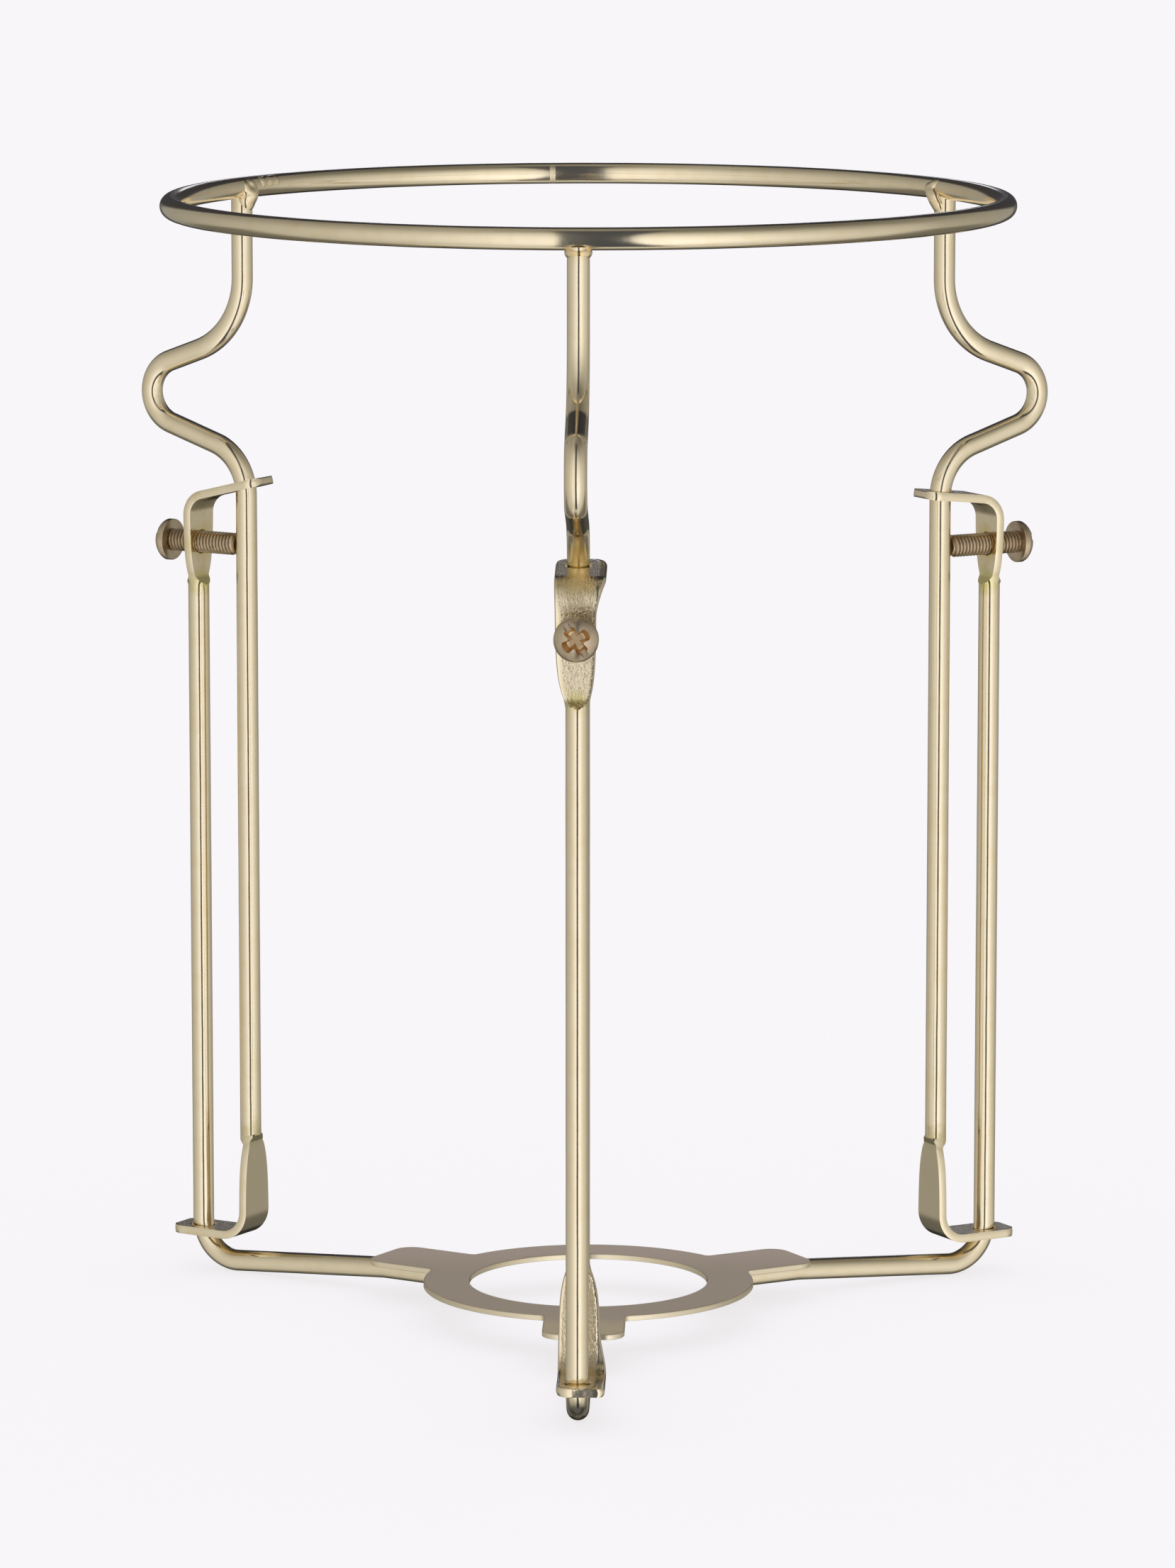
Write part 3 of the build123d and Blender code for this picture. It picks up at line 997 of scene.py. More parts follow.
@dataclass
class Route:
    """Straight runs in an upright plane, with a bend at each corner between them."""

    side: Side
    corners: list[tuple[float, float]]
    bends: list[float]

    def stations(self, straight: float, curved: float, start: float = 0.0) -> list[Station]:
        """Places stations along the route.

        Args:
            straight: Their spacing on straight runs.
            curved: Their spacing on bends.
            start: The run at the first station.

        Returns:
            Stations of round wire.
        """
        places = [np.array(corner, dtype=float) for corner in self.corners]
        found: list[tuple[np.ndarray, np.ndarray]] = []
        begin = places[0]
        for number in range(1, len(places)):
            corner = places[number]
            into = self._unit(corner - places[number - 1])
            if number == len(places) - 1:
                found += self._straight(begin, corner, into, straight)
                found.append((corner, into))
                break
            out = self._unit(places[number + 1] - corner)
            turn = math.atan2(into[0] * out[1] - into[1] * out[0], float(into @ out))
            radius = self.bends[number - 1]
            reach = radius * math.tan(abs(turn) / 2)
            found += self._straight(begin, corner - into * reach, into, straight)
            found += self._bend(corner - into * reach, into, turn, radius, curved)
            begin = corner + out * reach
        stations = []
        run = start
        last = found[0][0]
        for place, along in found:
            run += float(np.linalg.norm(place - last))
            last = place
            stations.append(Station(
                centre=self.side.point(place[0], place[1]),
                along=self.side.point(along[0], along[1]),
                side=self.side.across,
                run=run,
            ))
        return stations

    def round_tip(self, last: Station) -> list[Station]:
        """A few close stations past the last one, which round the rim of a tip."""
        return [
            Station(last.centre + last.along * step, last.along, self.side.across, last.run + step)
            for step in TIP_STEPS
        ]

    @staticmethod
    def _unit(arrow: np.ndarray) -> np.ndarray:
        """An arrow of length 1."""
        return arrow / np.linalg.norm(arrow)

    @staticmethod
    def _straight(begin: np.ndarray, end: np.ndarray, along: np.ndarray,
                  step: float) -> list[tuple[np.ndarray, np.ndarray]]:
        """Places along a straight run, without its end."""
        count = max(1, round(float(np.linalg.norm(end - begin)) / step))
        return [(begin + (end - begin) * number / count, along) for number in range(count)]

    @staticmethod
    def _bend(begin: np.ndarray, into: np.ndarray, turn: float, radius: float,
              step: float) -> list[tuple[np.ndarray, np.ndarray]]:
        """Places along a bend, without its end.

        Args:
            begin: Where the bend begins.
            into: The direction there.
            turn: How far it turns, in radians, anticlockwise.
            radius: Its radius.
            step: The spacing.

        Returns:
            (place, direction) pairs.
        """
        sign = math.copysign(1.0, turn)
        inwards = np.array((-into[1], into[0])) * sign
        middle = begin + inwards * radius
        count = max(2, round(abs(turn) * radius / step))
        found = []
        for number in range(count):
            angle = turn * number / count
            spin = np.array(((math.cos(angle), -math.sin(angle)), (math.sin(angle), math.cos(angle))))
            found.append((middle + spin @ (begin - middle), spin @ into))
        return found


@dataclass(frozen=True)
class Press:
    """How the end of a wire is pressed flat: crimp, leaf, bend and tip."""

    crimp: float = 1.1
    wide_left: float = 2.85
    wide_right: float = 2.85
    ear_left: float = 0.0
    ear_right: float = 0.0
    ear_before: float = 2.4
    ear_run: float = 5.5
    neck: float = 1.62
    swell: float = 2.6
    oval: float = 2.0
    corner_left: float = 1.8
    corner_right: float = 1.8
    rim: float = 0.14
    twist: float = 0.0
    twist_run: float = 3.4

    def shape(self, stations: list[Station], flat: float) -> None:
        """Gives stations their pressed section.

        Args:
            stations: From the crimp's round end to the tip.
            flat: How far from the tip the bend begins.
        """
        first = stations[0].run
        last = stations[-1].run
        for station in stations:
            done = station.run - first
            left = last - station.run
            crimped = min(1.0, done / self.crimp)
            grown = 1.0 - math.exp(-max(0.0, done - self.crimp) / self.swell)
            at_ear = self._ease((flat + self.ear_before - left) / self.ear_run)
            tip = max(0.0, 1.0 - left / self.rim)
            shrink = self.rim * (1.0 - math.sqrt(max(0.0, 1.0 - tip ** 2)))
            begin = WIRE_RADIUS + (self.neck - WIRE_RADIUS) * crimped
            wide_left = begin + (self.wide_left - self.neck) * grown + self.ear_left * at_ear
            wide_right = begin + (self.wide_right - self.neck) * grown + self.ear_right * at_ear
            station.left = self._cut(wide_left, left, self.corner_left) - shrink
            station.right = self._cut(wide_right, left, self.corner_right) - shrink
            station.thick = WIRE_RADIUS + (HALF_STRIP - WIRE_RADIUS) * crimped - shrink
            station.bulge = WIRE_RADIUS + (self.oval - WIRE_RADIUS) * crimped
            station.pressed = crimped
            turned = self.twist * crimped * self._ease((left - flat + self.twist_run) / self.twist_run)
            spin = Matrix.Rotation(math.radians(turned), 3, station.along)
            station.side = spin @ station.side

    @staticmethod
    def _ease(part: float) -> float:
        """A smooth step from 0 to 1."""
        part = min(1.0, max(0.0, part))
        return part * part * (3.0 - 2.0 * part)

    @staticmethod
    def _cut(width: float, left: float, corner: float) -> float:
        """Rounds a tip's corner off.

        Args:
            width: The half width without the corner.
            left: How far the tip is.
            corner: The corner's radius.

        Returns:
            The half width with it.
        """
        if left >= corner:
            return width
        return width - corner + math.sqrt(max(0.0, corner ** 2 - (corner - left) ** 2))


def lathe(name: str, profile: Profile, origin: Vector, axis: Vector,
          count: int = 64) -> bpy.types.Object:
    """Turns a closed solid about an axis.

    Args:
        name: The object's name.
        profile: (radius, height) pairs from one end of the axis to the other, in millimetres.
        origin: Where height 0 is.
        axis: Unit vector along which height grows.
        count: How many sides the solid has.

    Returns:
        The object.
    """
    one = axis.orthogonal().normalized()
    two = axis.cross(one)
    spots: list[Spot] = []
    rings: list[list[int]] = []
    for radius, height in profile:
        centre = origin + axis * height
        if radius <= 0.0:
            rings.append([len(spots)])
            spots.append(tuple(centre * MM))
            continue
        ring = []
        for number in range(count):
            angle = math.tau * number / count
            spot = centre + (one * math.cos(angle) + two * math.sin(angle)) * radius
            ring.append(len(spots))
            spots.append(tuple(spot * MM))
        rings.append(ring)
    faces: list[Face] = []
    for lower, upper in zip(rings, rings[1:]):
        for number in range(count):
            after = (number + 1) % count
            if len(lower) == 1:
                faces.append((lower[0], upper[number], upper[after]))
            elif len(upper) == 1:
                faces.append((lower[after], lower[number], upper[0]))
            else:
                faces.append((lower[number], upper[number], upper[after], lower[after]))
    if len(rings[0]) > 1:
        faces.append(tuple(rings[0]))
    if len(rings[-1]) > 1:
        faces.append(tuple(reversed(rings[-1])))
    mesh = bpy.data.meshes.new(name)
    mesh.from_pydata(spots, [], faces)
    Shop.face_outwards(mesh)
    mesh.shade_smooth()
    return Shop.add(name, mesh)


def through_strip(radius: float, rim: Levels, flare: float) -> Profile:
    """The profile of a cutter that pierces a strip and eases both rims of the hole.

    Args:
        radius: The hole's radius.
        rim: (widening, depth below the strip's face) pairs, from inside the hole to the face.
        flare: How much wider the cutter is at its ends.

    Returns:
        (radius, height) pairs for lathe(), with the middle of the strip at height 0.
    """
    upper = [(radius + wider, HALF_STRIP - depth) for wider, depth in rim]
    upper.append((radius + flare, CUTTER_REACH))
    return [(size, -height) for size, height in reversed(upper)] + upper


def strip_hole(radius: float, edge: float = 0.22) -> Profile:
    """The profile of a cutter for a hole whose rims are rolled over.

    Args:
        radius: The hole's radius.
        edge: How far the rims are rolled over.

    Returns:
        (radius, height) pairs for lathe().
    """
    return through_strip(radius, ((0.0, 1.2 * edge), (0.3 * edge, 0.7 * edge), (edge, 0.0)), 1.2)


@dataclass
class UpperFrame:
    """Ring and three legs, which slide up and down together."""

    tree: SweepTree
    ring_radius: float = 52.5
    ring_z: float = 143.415
    ring_stations: int = 440
    weld_angle: float = 97.0
    dent_angle: float = 266.5
    dent_reach: float = 2.4
    dent_depth: float = 0.085
    leg_radius: float = 52.1
    leg_top: float = 0.9
    bump_corner: tuple[float, float] = (75.71, 116.115)
    bump_top_z: float = 124.56
    bump_foot_z: float = 108.44
    bump_bends: Stretch = (10.4, 4.3, 7.0)
    crimp_z: float = 18.7
    neck_z: float = 17.3
    foot_radius: float = 51.7
    foot_bends: Range = (2.0, 3.3)
    foot_flat: float = 12.7
    eye_z: float = 5.25
    eye_tip: float = 63.2
    post_radius: float = 59.7
    hole: float = 1.6
    metaball_step: float = 0.10
    # Where the painted dark reflection on the bend under the front bump lies.
    streak_out: float = 1.7
    streak_z: float = 105.2
    body: str = "upper_frame"
    slot: str = "plated_wire"

    def build_ring(self) -> None:
        """Bends the ring, with its butt weld at the back and a small dent over the front leg."""
        stations = []
        count = self.ring_stations
        for number in range(count):
            angle = math.tau * number / count + math.radians(self.weld_angle)
            outwards = Vector((math.cos(angle), math.sin(angle), 0.0))
            along = Vector((-math.sin(angle), math.cos(angle), 0.0))
            from_dent = (math.degrees(angle) - self.dent_angle) / self.dent_reach
            dent = self.dent_depth * math.exp(-from_dent ** 2)
            stations.append(Station(
                centre=outwards * (self.ring_radius + dent) + Vector((0.0, 0.0, self.ring_z)),
                along=along,
                side=Vector((0.0, 0.0, 1.0)),
                run=self.ring_radius * math.tau * number / count,
            ))
        line = Line(stations, closed=True).build("dressed_ring")
        stains = tuple(
            Stain(side.point(self.ring_radius, self.ring_z - 1.6), 2.4, Tint.RING_JOINT, 0.5)
            for side in Side
        )
        plating = Plating("ring_plating", seed=1.0, stains=stains)
        self.tree.apply(line, plating.build(), ripple=0.035, ripple_length=7.0, seed=1.0)
        ring = Shop.freeze(line, [])
        Shop.finish(ring, self.body, self.slot, "top_ring")

    def build_leg(self, side: Side) -> None:
        """Bends one leg, presses its foot flat and pierces it for the post.

        Args:
            side: Where the leg stands.
        """
        corners = [
            (self.ring_radius, self.ring_z - self.leg_top),
            (self.ring_radius, self.bump_top_z),
            self.bump_corner,
            (self.leg_radius, self.bump_foot_z),
            (self.leg_radius, self.crimp_z),
        ]
        stations = Route(side, corners, list(self.bump_bends)).stations(*ROUND_STEPS)
        foot = [
            (self.leg_radius, self.crimp_z),
            (self.foot_radius, self.neck_z),
            (self.foot_radius, self.eye_z),
            (self.eye_tip - TIP_STEPS[-1], self.eye_z),
        ]
        route = Route(side, foot, list(self.foot_bends))
        pressed = route.stations(*PRESSED_STEPS, stations[-1].run)
        pressed += route.round_tip(pressed[-1])
        if side is Side.FRONT:
            press = Press(
                wide_left=2.55, wide_right=2.7, ear_right=0.7, corner_left=1.9, corner_right=0.9, oval=1.5
            )
        else:
            press = Press()
        press.shape(pressed, flat=self.foot_flat)
        line = Line(stations + pressed[1:]).build(f"dressed_leg_{side.key}")
        stains = (
            Stain(side.point(self.leg_radius, self.crimp_z + 0.4), 2.4, Tint.FOOT_CRIMP, 0.6),
            Stain(side.point(self.ring_radius, self.ring_z - 1.7), 1.9, Tint.LEG_TOP, 0.5),
            Stain(side.point(self.post_radius, self.eye_z), 3.4, Tint.EYE, 0.5),
        )
        # The front leg also gets a painted dark reflection on the bend under its bump.
        if side is Side.FRONT:
            bump_reflection_spot = side.point(self.leg_radius + self.streak_out, self.streak_z)
            stains = (*stains, Stain(bump_reflection_spot, 3.4, Tint.BUMP_STREAK, 0.75))
        plating = Plating(
            f"leg_plating_{side.key}", pit_side=1.0, dull_side=-1.0, seed=20.0 + side.value / 10.0,
            stains=stains,
        )
        self.tree.apply(line, plating.build(), seed=side.value)
        eye = side.point(self.post_radius, self.eye_z)
        cutter = lathe("eye_cutter", strip_hole(self.hole), eye, Vector((0.0, 0.0, 1.0)))
        leg = Shop.freeze(line, [cutter])
        Shop.finish(leg, self.body, self.slot, f"upper_leg_{side.key}")

    @staticmethod
    def _lumps(side: Side) -> list[Edge]:
        """Where the lumps of a joint's filler lie.

        Args:
            side: Whose joint it is.

        Returns:
            For each lump how far it is inwards, up and across from the ring's middle, and its reach.
            The last three on the left are shallow scallops along the ring.
        """
        if side is Side.FRONT:
            collar = [
                (0.72 * math.cos(math.tau * number / 8), -1.62, 0.95 * math.sin(math.tau * number / 8), 1.25)
                for number in range(8)
            ]
            return [*collar, (0.9, -1.0, 0.2, 1.2)]
        if side is Side.LEFT:
            return [
                (0.45, -2.35, 0.0, 1.75), (0.95, -1.7, -0.15, 1.55), (1.15, -0.9, -0.5, 1.45),
                (1.25, -0.2, -0.7, 1.2), (0.95, 0.45, -0.4, 1.15), (0.45, 0.62, 0.3, 1.05),
                (0.9, -0.3, 0.6, 1.3), (0.85, -1.4, 0.6, 1.4), (1.35, -0.9, 0.0, 1.5), (0.8, 0.3, 0.9, 1.1),
                (0.43, 0.33, -3.2, 1.75), (0.42, 0.34, -4.7, 1.75), (0.43, 0.32, -6.1, 1.72),
            ]
        return [
            (0.45, -2.35, 0.0, 1.75), (1.0, -1.7, 0.1, 1.6), (1.3, -1.0, 0.5, 1.55),
            (1.3, -0.4, 1.2, 1.4), (1.15, 0.1, 1.7, 1.2), (0.95, 0.45, 0.9, 1.15), (0.5, 0.55, 0.3, 1.1),
        ]

    def build_braze(self, side: Side) -> None:
        """Fills the joint between a leg's top and the ring with molten lumps.

        The metaballs are blended in millimetres, because their step can't be small enough in metres.

        Args:
            side: Whose joint it is.
        """
        name = f"braze_{side.key}"
        blend = bpy.data.metaballs.new(name)
        blend.resolution = self.metaball_step
        blend.render_resolution = self.metaball_step
        for inwards, up, across, reach in self._lumps(side):
            turned = math.radians(side.value) + across / self.ring_radius
            outwards = Vector((math.cos(turned), math.sin(turned), 0.0))
            lump = blend.elements.new(type="BALL")
            lump.co = outwards * (self.ring_radius - inwards) + Vector((0.0, 0.0, self.ring_z + up))
            lump.radius = reach
        molten = bpy.data.objects.new(name, blend)
        bpy.context.collection.objects.link(molten)
        depsgraph = bpy.context.evaluated_depsgraph_get()
        mesh = bpy.data.meshes.new_from_object(molten.evaluated_get(depsgraph))
        bpy.data.objects.remove(molten)
        mesh.transform(Matrix.Scale(MM, 4))
        mesh.name = name
        Shop.face_outwards(mesh)
        mesh.shade_smooth()
        mesh.materials.clear()
        stains = (
            Stain(side.point(self.ring_radius - 0.4, self.ring_z - 1.9), 1.8, Tint.BRAZE_INSIDE, 0.6),
            Stain(side.point(self.ring_radius + 0.9, self.ring_z - 1.6), 1.6, Tint.BRAZE_OUTSIDE, 0.7),
        )
        plating = Plating(name, colour=(0.885, 0.745, 0.51), ripple=0.05, seed=40.0, stains=stains)
        mesh.materials.append(plating.build())
        Shop.finish(Shop.add(name, mesh), self.body, self.slot)

    def build(self) -> None:
        """Builds the ring, the legs and the joints between them."""
        self.build_ring()
        for side in Side:
            self.build_leg(side)
            self.build_braze(side)


@dataclass
class LowerFrame:
    """Lampholder plate and three posts."""

    tree: SweepTree
    post_radius: float = 59.7
    arm_end: float = 18.8
    arm_seat_z: float = 3.137
    arm_corner_z: float = 0.994
    tab_length: float = 31.2
    arm_bends: Range = (10.0, 5.2)
    clip_height: float = 103.4
    clip_z: float = 102.85
    clip_tip: float = 49.0
    clip_bend: float = 2.9
    clip_lead: float = 0.6
    screw_z: float = 96.9
    screw_hole: float = 1.5
    screw_hole_rim: Levels = ((0.0, 0.15), (0.1, 0.0))
    screw_hole_flare: float = 0.9
    leg_radius: float = 52.1
    hole: float = 1.6
    plate_low: float = 4.387
    plate_high: float = 5.087
    hole_radius: float = 15.3
    band_radius: float = 21.2
    tab_half: float = 5.15
    tab_corner: float = 2.5
    root: float = 0.6
    rounded: float = 0.16
    chamfer: float = 0.05
    rim_strip: float = 0.25
    rim_bright: float = 0.4
    root_steps: int = 8
    corner_steps: int = 12
    band_steps: int = 40
    hole_steps: int = 160
    rounded_steps: int = 6
    crease: float = math.radians(35.0)
    body: str = "lower_frame"
    slot: str = "plated_wire"
    plate_slot: str = "plated_plate"

    @staticmethod
    def head_flat(side: Side) -> float:
        """How far below the clip's top a head's crimp starts."""
        return {Side.FRONT: 15.3, Side.LEFT: 12.1, Side.RIGHT: 11.8}[side]

    @staticmethod
    def clip_rise(side: Side) -> float:
        """How far a clip leans up from level, in degrees."""
        return {Side.FRONT: 7.0, Side.LEFT: 14.0, Side.RIGHT: 6.0}[side]

    def build_post(self, side: Side) -> None:
        """Bends one post, presses its head flat, and pierces it for the leg and the screw.

        Args:
            side: Where the post stands.
        """
        crimp_z = self.clip_height - self.head_flat(side)
        rise = math.tan(math.radians(self.clip_rise(side)))
        corners = [
            (self.arm_end, self.arm_seat_z),
            (self.tab_length, self.arm_seat_z),
            (self.post_radius, self.arm_corner_z),
            (self.post_radius, crimp_z),
        ]
        stations = Route(side, corners, list(self.arm_bends)).stations(*ROUND_STEPS)
        tip_z = self.clip_z + (self.post_radius - self.clip_tip) * rise
        lean = Vector((-1.0, rise)).normalized()
        head = [
            (self.post_radius, crimp_z),
            (self.post_radius, self.clip_z),
            (self.clip_tip - lean[0] * TIP_STEPS[-1], tip_z - lean[1] * TIP_STEPS[-1]),
        ]
        route = Route(side, head, [self.clip_bend])
        pressed = route.stations(*PRESSED_STEPS, stations[-1].run)
        pressed += route.round_tip(pressed[-1])
        level = self.post_radius - self.clip_tip
        flat = level / math.cos(math.radians(self.clip_rise(side))) + self.clip_lead
        if side is Side.FRONT:
            press = Press(wide_left=2.7, wide_right=2.35, ear_left=0.1, ear_right=1.1, oval=1.5, twist=-4.0)
        else:
            press = Press(rim=0.42)
        press.shape(pressed, flat=flat)
        line = Line(stations + pressed[1:]).build(f"dressed_post_{side.key}")
        stains = (
            Stain(side.point(self.post_radius - 0.4, crimp_z + 0.5), 2.5, Tint.HEAD_CRIMP, 0.85),
            Stain(side.point(self.post_radius - 0.5, self.screw_z), 3.4, Tint.SCREW_HOLE, 0.8),
            Stain(side.point(self.post_radius - 1.0, self.clip_z + 0.6), 3.6, Tint.CLIP, 0.75),
        )
        # The front post also gets a darker band above its screw, and a painted reflection of the floor's
        # shadow at its foot.
        if side is Side.FRONT:
            above_screw = side.point(self.post_radius + 0.6, self.clip_z - 3.4)
            shadow_reflection_spot = side.point(self.post_radius + 0.2, 1.7)
            stains = (
                *stains,
                Stain(above_screw, 2.6, Tint.ABOVE_SCREW, 0.75),
                Stain(shadow_reflection_spot, 2.2, Tint.ON_FLOOR, 0.95),
            )
        plating = Plating(
            f"post_plating_{side.key}", pit_side=-1.0, seed=60.0 + side.value / 10.0, stains=stains
        )
        self.tree.apply(line, plating.build(), seed=100.0 + side.value)
        post = Shop.freeze(line, self._cutters(side, rise))
        Shop.finish(post, self.body, self.slot, f"lower_post_{side.key}")

    def _cutters(self, side: Side, rise: float) -> list[bpy.types.Object]:
        """Makes the cutters for the clip's hole and the screw's hole.

        Args:
            side: Where the post stands.
            rise: How steeply the clip leans up.

        Returns:
            Both cutters.
        """
        axis = (Vector((0.0, 0.0, 1.0)) + side.outwards * rise).normalized()
        height = self.clip_z + (self.post_radius - self.leg_radius) * rise
        clip = lathe("clip_cutter", strip_hole(self.hole), side.point(self.leg_radius, height), axis)
        tapped = through_strip(self.screw_hole, self.screw_hole_rim, self.screw_hole_flare)
        screw = lathe("screw_cutter", tapped, side.point(self.post_radius, self.screw_z), side.outwards)
        return [clip, screw]

    def _outline(self) -> list[Edge]:
        """The plate's outline, anticlockwise, tab by tab.

        Returns:
            The X and Y of each point's place, then of its outward direction.
        """
        points: list[Edge] = []
        middle_y = self.tab_half + self.root
        middle_x = math.sqrt((self.band_radius + self.root) ** 2 - middle_y ** 2)
        half_turn = math.atan2(middle_y, middle_x)
        for side in (Side.FRONT, Side.RIGHT, Side.LEFT):
            tab: list[Edge] = []
            for number in range(self.root_steps + 1):
                angle = math.pi - half_turn + (half_turn - math.pi / 2) * number / self.root_steps
                x = middle_x + self.root * math.cos(angle)
                y = -middle_y + self.root * math.sin(angle)
                tab.append((x, y, -math.cos(angle), -math.sin(angle)))
            corner_x = self.tab_length - self.tab_corner
            corner_y = self.tab_half - self.tab_corner
            for begin, sign in ((-90.0, -1.0), (0.0, 1.0)):
                for number in range(self.corner_steps + 1):
                    angle = math.radians(begin + 90.0 * number / self.corner_steps)
                    out = (math.cos(angle), math.sin(angle))
                    x = corner_x + self.tab_corner * out[0]
                    y = sign * corner_y + self.tab_corner * out[1]
                    tab.append((x, y, *out))
            for x, y, out_x, out_y in reversed(tab[:self.root_steps + 1]):
                tab.append((x, -y, out_x, -out_y))
            arc = math.radians(120.0) - 2 * half_turn
            for number in range(1, self.band_steps):
                angle = half_turn + arc * number / self.band_steps
                out = (math.cos(angle), math.sin(angle))
                tab.append((self.band_radius * out[0], self.band_radius * out[1], *out))
            turn = math.radians(side.value)
            cosine, sine = math.cos(turn), math.sin(turn)
            points += [
                (x * cosine - y * sine, x * sine + y * cosine, u * cosine - v * sine, u * sine + v * cosine)
                for x, y, u, v in tab
            ]
        return points

    def build_plate(self) -> None:
        """Stamps the plate, with rolled-over edges on top and a sharper rim below."""
        outer = self._outline()
        inner = []
        for number in range(self.hole_steps):
            angle = -math.tau * number / self.hole_steps
            out = (math.cos(angle), math.sin(angle))
            inner.append((self.hole_radius * out[0], self.hole_radius * out[1], -out[0], -out[1]))
        top = self.rounded
        levels = [(self.chamfer, self.plate_low), (0.0, self.plate_low + self.chamfer)]
        for number in range(self.rounded_steps + 1):
            angle = math.radians(90.0 * number / self.rounded_steps)
            inset = top * (1 - math.cos(angle))
            levels.append((inset, self.plate_high - top + top * math.sin(angle)))
        spots: list[Spot] = []
        faces: list[Face] = []
        bright: list[float] = []
        caps: dict[int, list[list[int]]] = {0: [], len(levels) - 1: []}
        for outline in (outer, inner):
            rings = []
            for number, (inset, height) in enumerate(levels):
                ring = []
                for x, y, u, v in outline:
                    ring.append(len(spots))
                    spots.append(((x - u * inset) * MM, (y - v * inset) * MM, height * MM))
                    bright.append(1.0 if 0 < number < len(levels) - 3 else self.rim_bright)
                rings.append(ring)
                if number in caps:
                    caps[number].append(ring)
            size = len(outline)
            for lower, upper in zip(rings, rings[1:]):
                for number in range(size):
                    after = (number + 1) % size
                    faces.append((lower[number], lower[after], upper[after], upper[number]))
        faces += self._cap(spots, bright, caps[0], down=True)
        faces += self._cap(spots, bright, caps[len(levels) - 1], down=False)
        mesh = bpy.data.meshes.new("dressed_plate")
        mesh.from_pydata(spots, [], faces)
        mesh.attributes.new("edge", "FLOAT", "POINT").data.foreach_set("value", bright)
        mesh.shade_smooth()
        mesh.set_sharp_from_angle(angle=self.crease)
        mesh.materials.append(SatinPlate().build())
        Shop.face_outwards(mesh)
        plate = Shop.add("dressed_plate", mesh)
        Shop.finish(plate, self.body, self.plate_slot, "lampholder_plate")

    def _cap(self, spots: list[Spot], bright: list[float], rings: list[list[int]],
             down: bool) -> list[Face]:
        """Fills the flat between the outline and the hole, with a strip of even faces at each rim.

        Args:
            spots: All places so far, to which the strips' inner points are added.
            bright: How bright each place is, to which theirs are added.
            rings: The places of the outline and of the hole.
            down: Whether the flat faces down.

        Returns:
            The faces.
        """
        faces: list[Face] = []
        fresh: list[list[int]] = []
        for ring, grow in zip(rings, (-1.0, 1.0)):
            inside = []
            for index in ring:
                x, y, z = spots[index]
                length = math.hypot(x, y)
                shift = grow * self.rim_strip * MM
                inside.append(len(spots))
                spots.append((x + x / length * shift, y + y / length * shift, z))
                bright.append(0.0)
            size = len(ring)
            for number in range(size):
                after = (number + 1) % size
                quad = (ring[number], ring[after], inside[after], inside[number])
                faces.append(tuple(reversed(quad)) if down else quad)
            fresh.append(inside)
        order = fresh[0] + fresh[1]
        loops = [[Vector(spots[index]) for index in loop] for loop in fresh]
        for triangle in tessellate_polygon(loops):
            faces.append(tuple(order[corner] for corner in triangle))
        return faces

    def build(self) -> None:
        """Builds the plate and the posts."""
        self.build_plate()
        for side in Side:
            self.build_post(side)


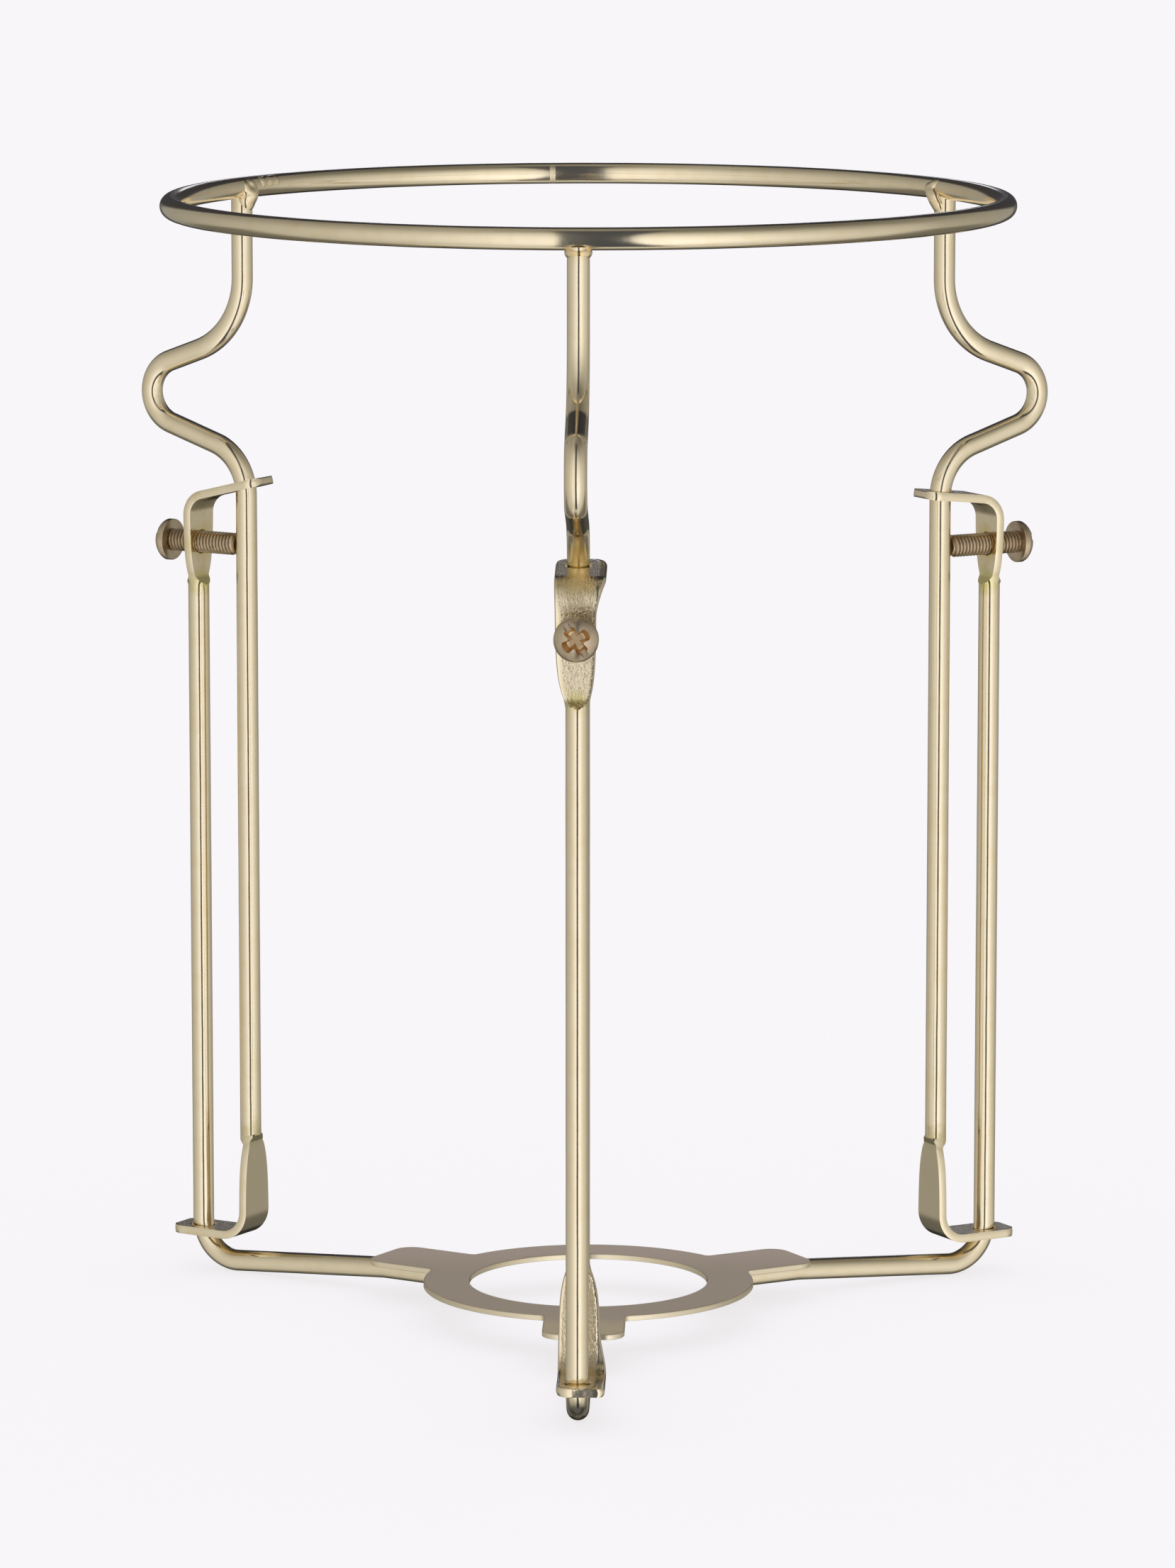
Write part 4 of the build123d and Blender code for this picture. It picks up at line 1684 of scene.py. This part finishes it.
@dataclass
class ClampScrew:
    """One clamp screw: a threaded shank, and a domed head with a slot across a cross recess."""

    tree: SweepTree
    side: Side
    tip: float = 53.6
    seat: float = 63.6
    crown: float = 65.8
    height: float = 96.9
    crest: float = 1.45
    chamfer: float = 0.4
    into_head: float = 0.3
    pitch: float = 0.5
    head: float = 2.7
    seat_ring: float = 1.5
    seat_edge: Levels = ((0.12, 0.0), (0.03, 0.04), (0.0, 0.12))
    rim: float = 0.8
    rim_edge: float = 0.08
    above_crown: float = 0.6
    slot_width: float = 0.9
    slot_narrowing: float = 0.06
    slot_flare: float = 0.10
    slot_depth: float = 1.0
    slot_reach: float = 4.0
    slot_fillet: float = 0.12
    cross_hub: float = 1.0
    cross_half: float = 2.15
    cross_depth: float = 1.5
    cross_taper: Levels = ((0.0, 0.42), (0.12, 0.54), (0.7, 0.74))
    cross_mouth: float = 1.16
    lobe: Levels = ((0.0, 1.0), (18.0, 0.97), (26.0, 0.80), (34.0, 0.18), (45.0, 0.0))
    shank_steps: int = 230
    dome_steps: int = 14
    around: int = 96
    slot: str = "screw"
    thread_depth: float = 0.17

    @property
    def turned(self) -> float:
        """How far the slot is turned from level, seen from outside, in degrees."""
        return {Side.FRONT: -57.0, Side.LEFT: 35.0, Side.RIGHT: -20.0}[self.side]

    def build_shank(self, material: bpy.types.Material) -> bpy.types.Object:
        """Cuts the thread.

        Args:
            material: The shank's finish.

        Returns:
            The shank, whose tip is chamfered.
        """
        out = self.side.outwards
        stations = []
        length = self.seat - self.tip + self.into_head
        count = self.shank_steps
        for number in range(count + 1):
            run = length * number / count
            size = self.crest - max(0.0, self.chamfer - run)
            stations.append(Station(
                centre=self.side.point(self.tip + run, self.height),
                along=out,
                side=self.side.across,
                run=run,
                left=size,
                right=size,
                bulge=size,
                thick=size,
            ))
        line = Line(stations).build(f"shank_{self.side.key}")
        self.tree.apply(line, material, ripple=0.0, thread=(self.thread_depth, self.pitch))
        return Shop.freeze(line, [])

    def build_head(self, material: bpy.types.Material, recess: bpy.types.Material) -> bpy.types.Object:
        """Turns the head and cuts its slot and its cross.

        Args:
            material: The finish of the head and the slot.
            recess: The finish of the cross.

        Returns:
            The head.
        """
        profile = [(0.0, 0.0), (self.seat_ring, 0.0)]
        profile += [(self.head - inset, up) for inset, up in self.seat_edge]
        profile.append((self.head, self.rim - self.rim_edge))
        height = self.crown - self.seat
        rise = height - self.rim
        bow = (self.head ** 2 + rise ** 2) / (2 * rise)
        reach = math.asin(self.head / bow)
        for number in range(1, self.dome_steps + 1):
            angle = reach * (1 - number / self.dome_steps)
            profile.append((bow * math.sin(angle), height - bow + bow * math.cos(angle)))
        profile[-1] = (0.0, height)
        origin = self.side.point(self.seat, self.height)
        head = lathe(f"head_{self.side.key}", profile, origin, self.side.outwards, self.around)
        head.data.materials.append(material)
        return Shop.freeze(head, [self._slot_cutter(material), self._cross_cutter(recess)])

    def _place(self, x: float, y: float, z: float) -> Spot:
        """A place on the head, turned with the slot.

        Args:
            x: Along the slot, in millimetres.
            y: Across the slot.
            z: Outwards from the seat.

        Returns:
            The place, in metres.
        """
        turn = math.radians(self.turned)
        across = x * math.cos(turn) - y * math.sin(turn)
        up = x * math.sin(turn) + y * math.cos(turn)
        return tuple(self.side.point(self.seat + z, self.height + up, across) * MM)

    def _slot_cutter(self, material: bpy.types.Material) -> bpy.types.Object:
        """Makes a bar that flares a little towards the crown.

        Args:
            material: The finish that it leaves in the slot.

        Returns:
            The cutter.
        """
        floor = self.crown - self.seat - self.slot_depth
        top = self.crown - self.seat + self.above_crown
        low = self.slot_width / 2 - self.slot_narrowing
        wide = self.slot_width / 2 + self.slot_flare
        cut = self.slot_fillet
        section = [
            (-wide, top), (-low, floor + cut), (-low + cut, floor),
            (low - cut, floor), (low, floor + cut), (wide, top),
        ]
        spots = [self._place(x, y, z) for x in (-self.slot_reach, self.slot_reach) for y, z in section]
        size = len(section)
        faces: list[Face] = [tuple(range(size)), tuple(reversed(range(size, 2 * size)))]
        for number in range(size):
            after = (number + 1) % size
            faces.append((number, number + size, after + size, after))
        return self._closed("slot_cutter", spots, faces, material)

    def _cross_cutter(self, recess: bpy.types.Material) -> bpy.types.Object:
        """Makes a plug with four rounded lobes, which narrows towards its floor.

        Args:
            recess: The finish that it leaves in the cross.

        Returns:
            The cutter.
        """
        floor = self.crown - self.seat - self.cross_depth
        top = self.crown - self.seat + self.above_crown
        levels = [(floor + up, scale) for up, scale in self.cross_taper]
        levels.append((top, self.cross_mouth))
        count = self.around
        bearings, spreads = zip(*self.lobe)
        spots = []
        for height, scale in levels:
            for number in range(count):
                angle = math.tau * number / count
                aside = abs((math.degrees(angle) + 45.0) % 90.0 - 45.0)
                spread = float(np.interp(aside, bearings, spreads))
                radius = (self.cross_hub + (self.cross_half - self.cross_hub) * spread) * scale
                spots.append(self._place(radius * math.cos(angle), radius * math.sin(angle), height))
        faces: list[Face] = [tuple(reversed(range(count)))]
        faces.append(tuple(range(count * (len(levels) - 1), count * len(levels))))
        for level in range(len(levels) - 1):
            for number in range(count):
                after = (number + 1) % count
                base = level * count
                faces.append((base + number, base + after, base + count + after, base + count + number))
        return self._closed("cross_cutter", spots, faces, recess)

    @staticmethod
    def _closed(name: str, spots: list[Spot], faces: list[Face],
                material: bpy.types.Material) -> bpy.types.Object:
        """Makes a closed cutter.

        Args:
            name: The object's name.
            spots: Its places, in metres.
            faces: The places of each face.
            material: The finish that it leaves where it cuts.

        Returns:
            The cutter.
        """
        mesh = bpy.data.meshes.new(name)
        mesh.from_pydata(spots, [], faces)
        mesh.materials.append(material)
        Shop.face_outwards(mesh)
        return Shop.add(name, mesh)

    def build(self, material: bpy.types.Material, recess: bpy.types.Material) -> None:
        """Builds the screw as one piece.

        Args:
            material: The finish of the shank and the head.
            recess: The finish of the cross.
        """
        parts = [self.build_head(material, recess), self.build_shank(material)]
        with bpy.context.temp_override(active_object=parts[0], selected_editable_objects=parts):
            bpy.ops.object.join()
        screw = parts[0]
        screw.name = f"dressed_screw_{self.side.key}"
        Shop.finish(screw, f"screw_{self.side.key}", self.slot, f"clamp_screw_{self.side.key}")


def main() -> None:
    """Builds the carrier in the studio."""
    logging.basicConfig(level=logging.INFO, format="%(message)s")
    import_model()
    bpy.context.scene.view_settings.view_transform = "Standard"
    studio = Studio()
    studio.light()
    studio.lay_floor()
    Viewpoint().build()
    tree = SweepTree()
    UpperFrame(tree).build()
    LowerFrame(tree).build()
    brass = ScrewBrass().build()
    recess = ScrewBrass().build_recess()
    for side in Side:
        ClampScrew(tree, side).build(brass, recess)


if __name__ == "__main__":
    main()
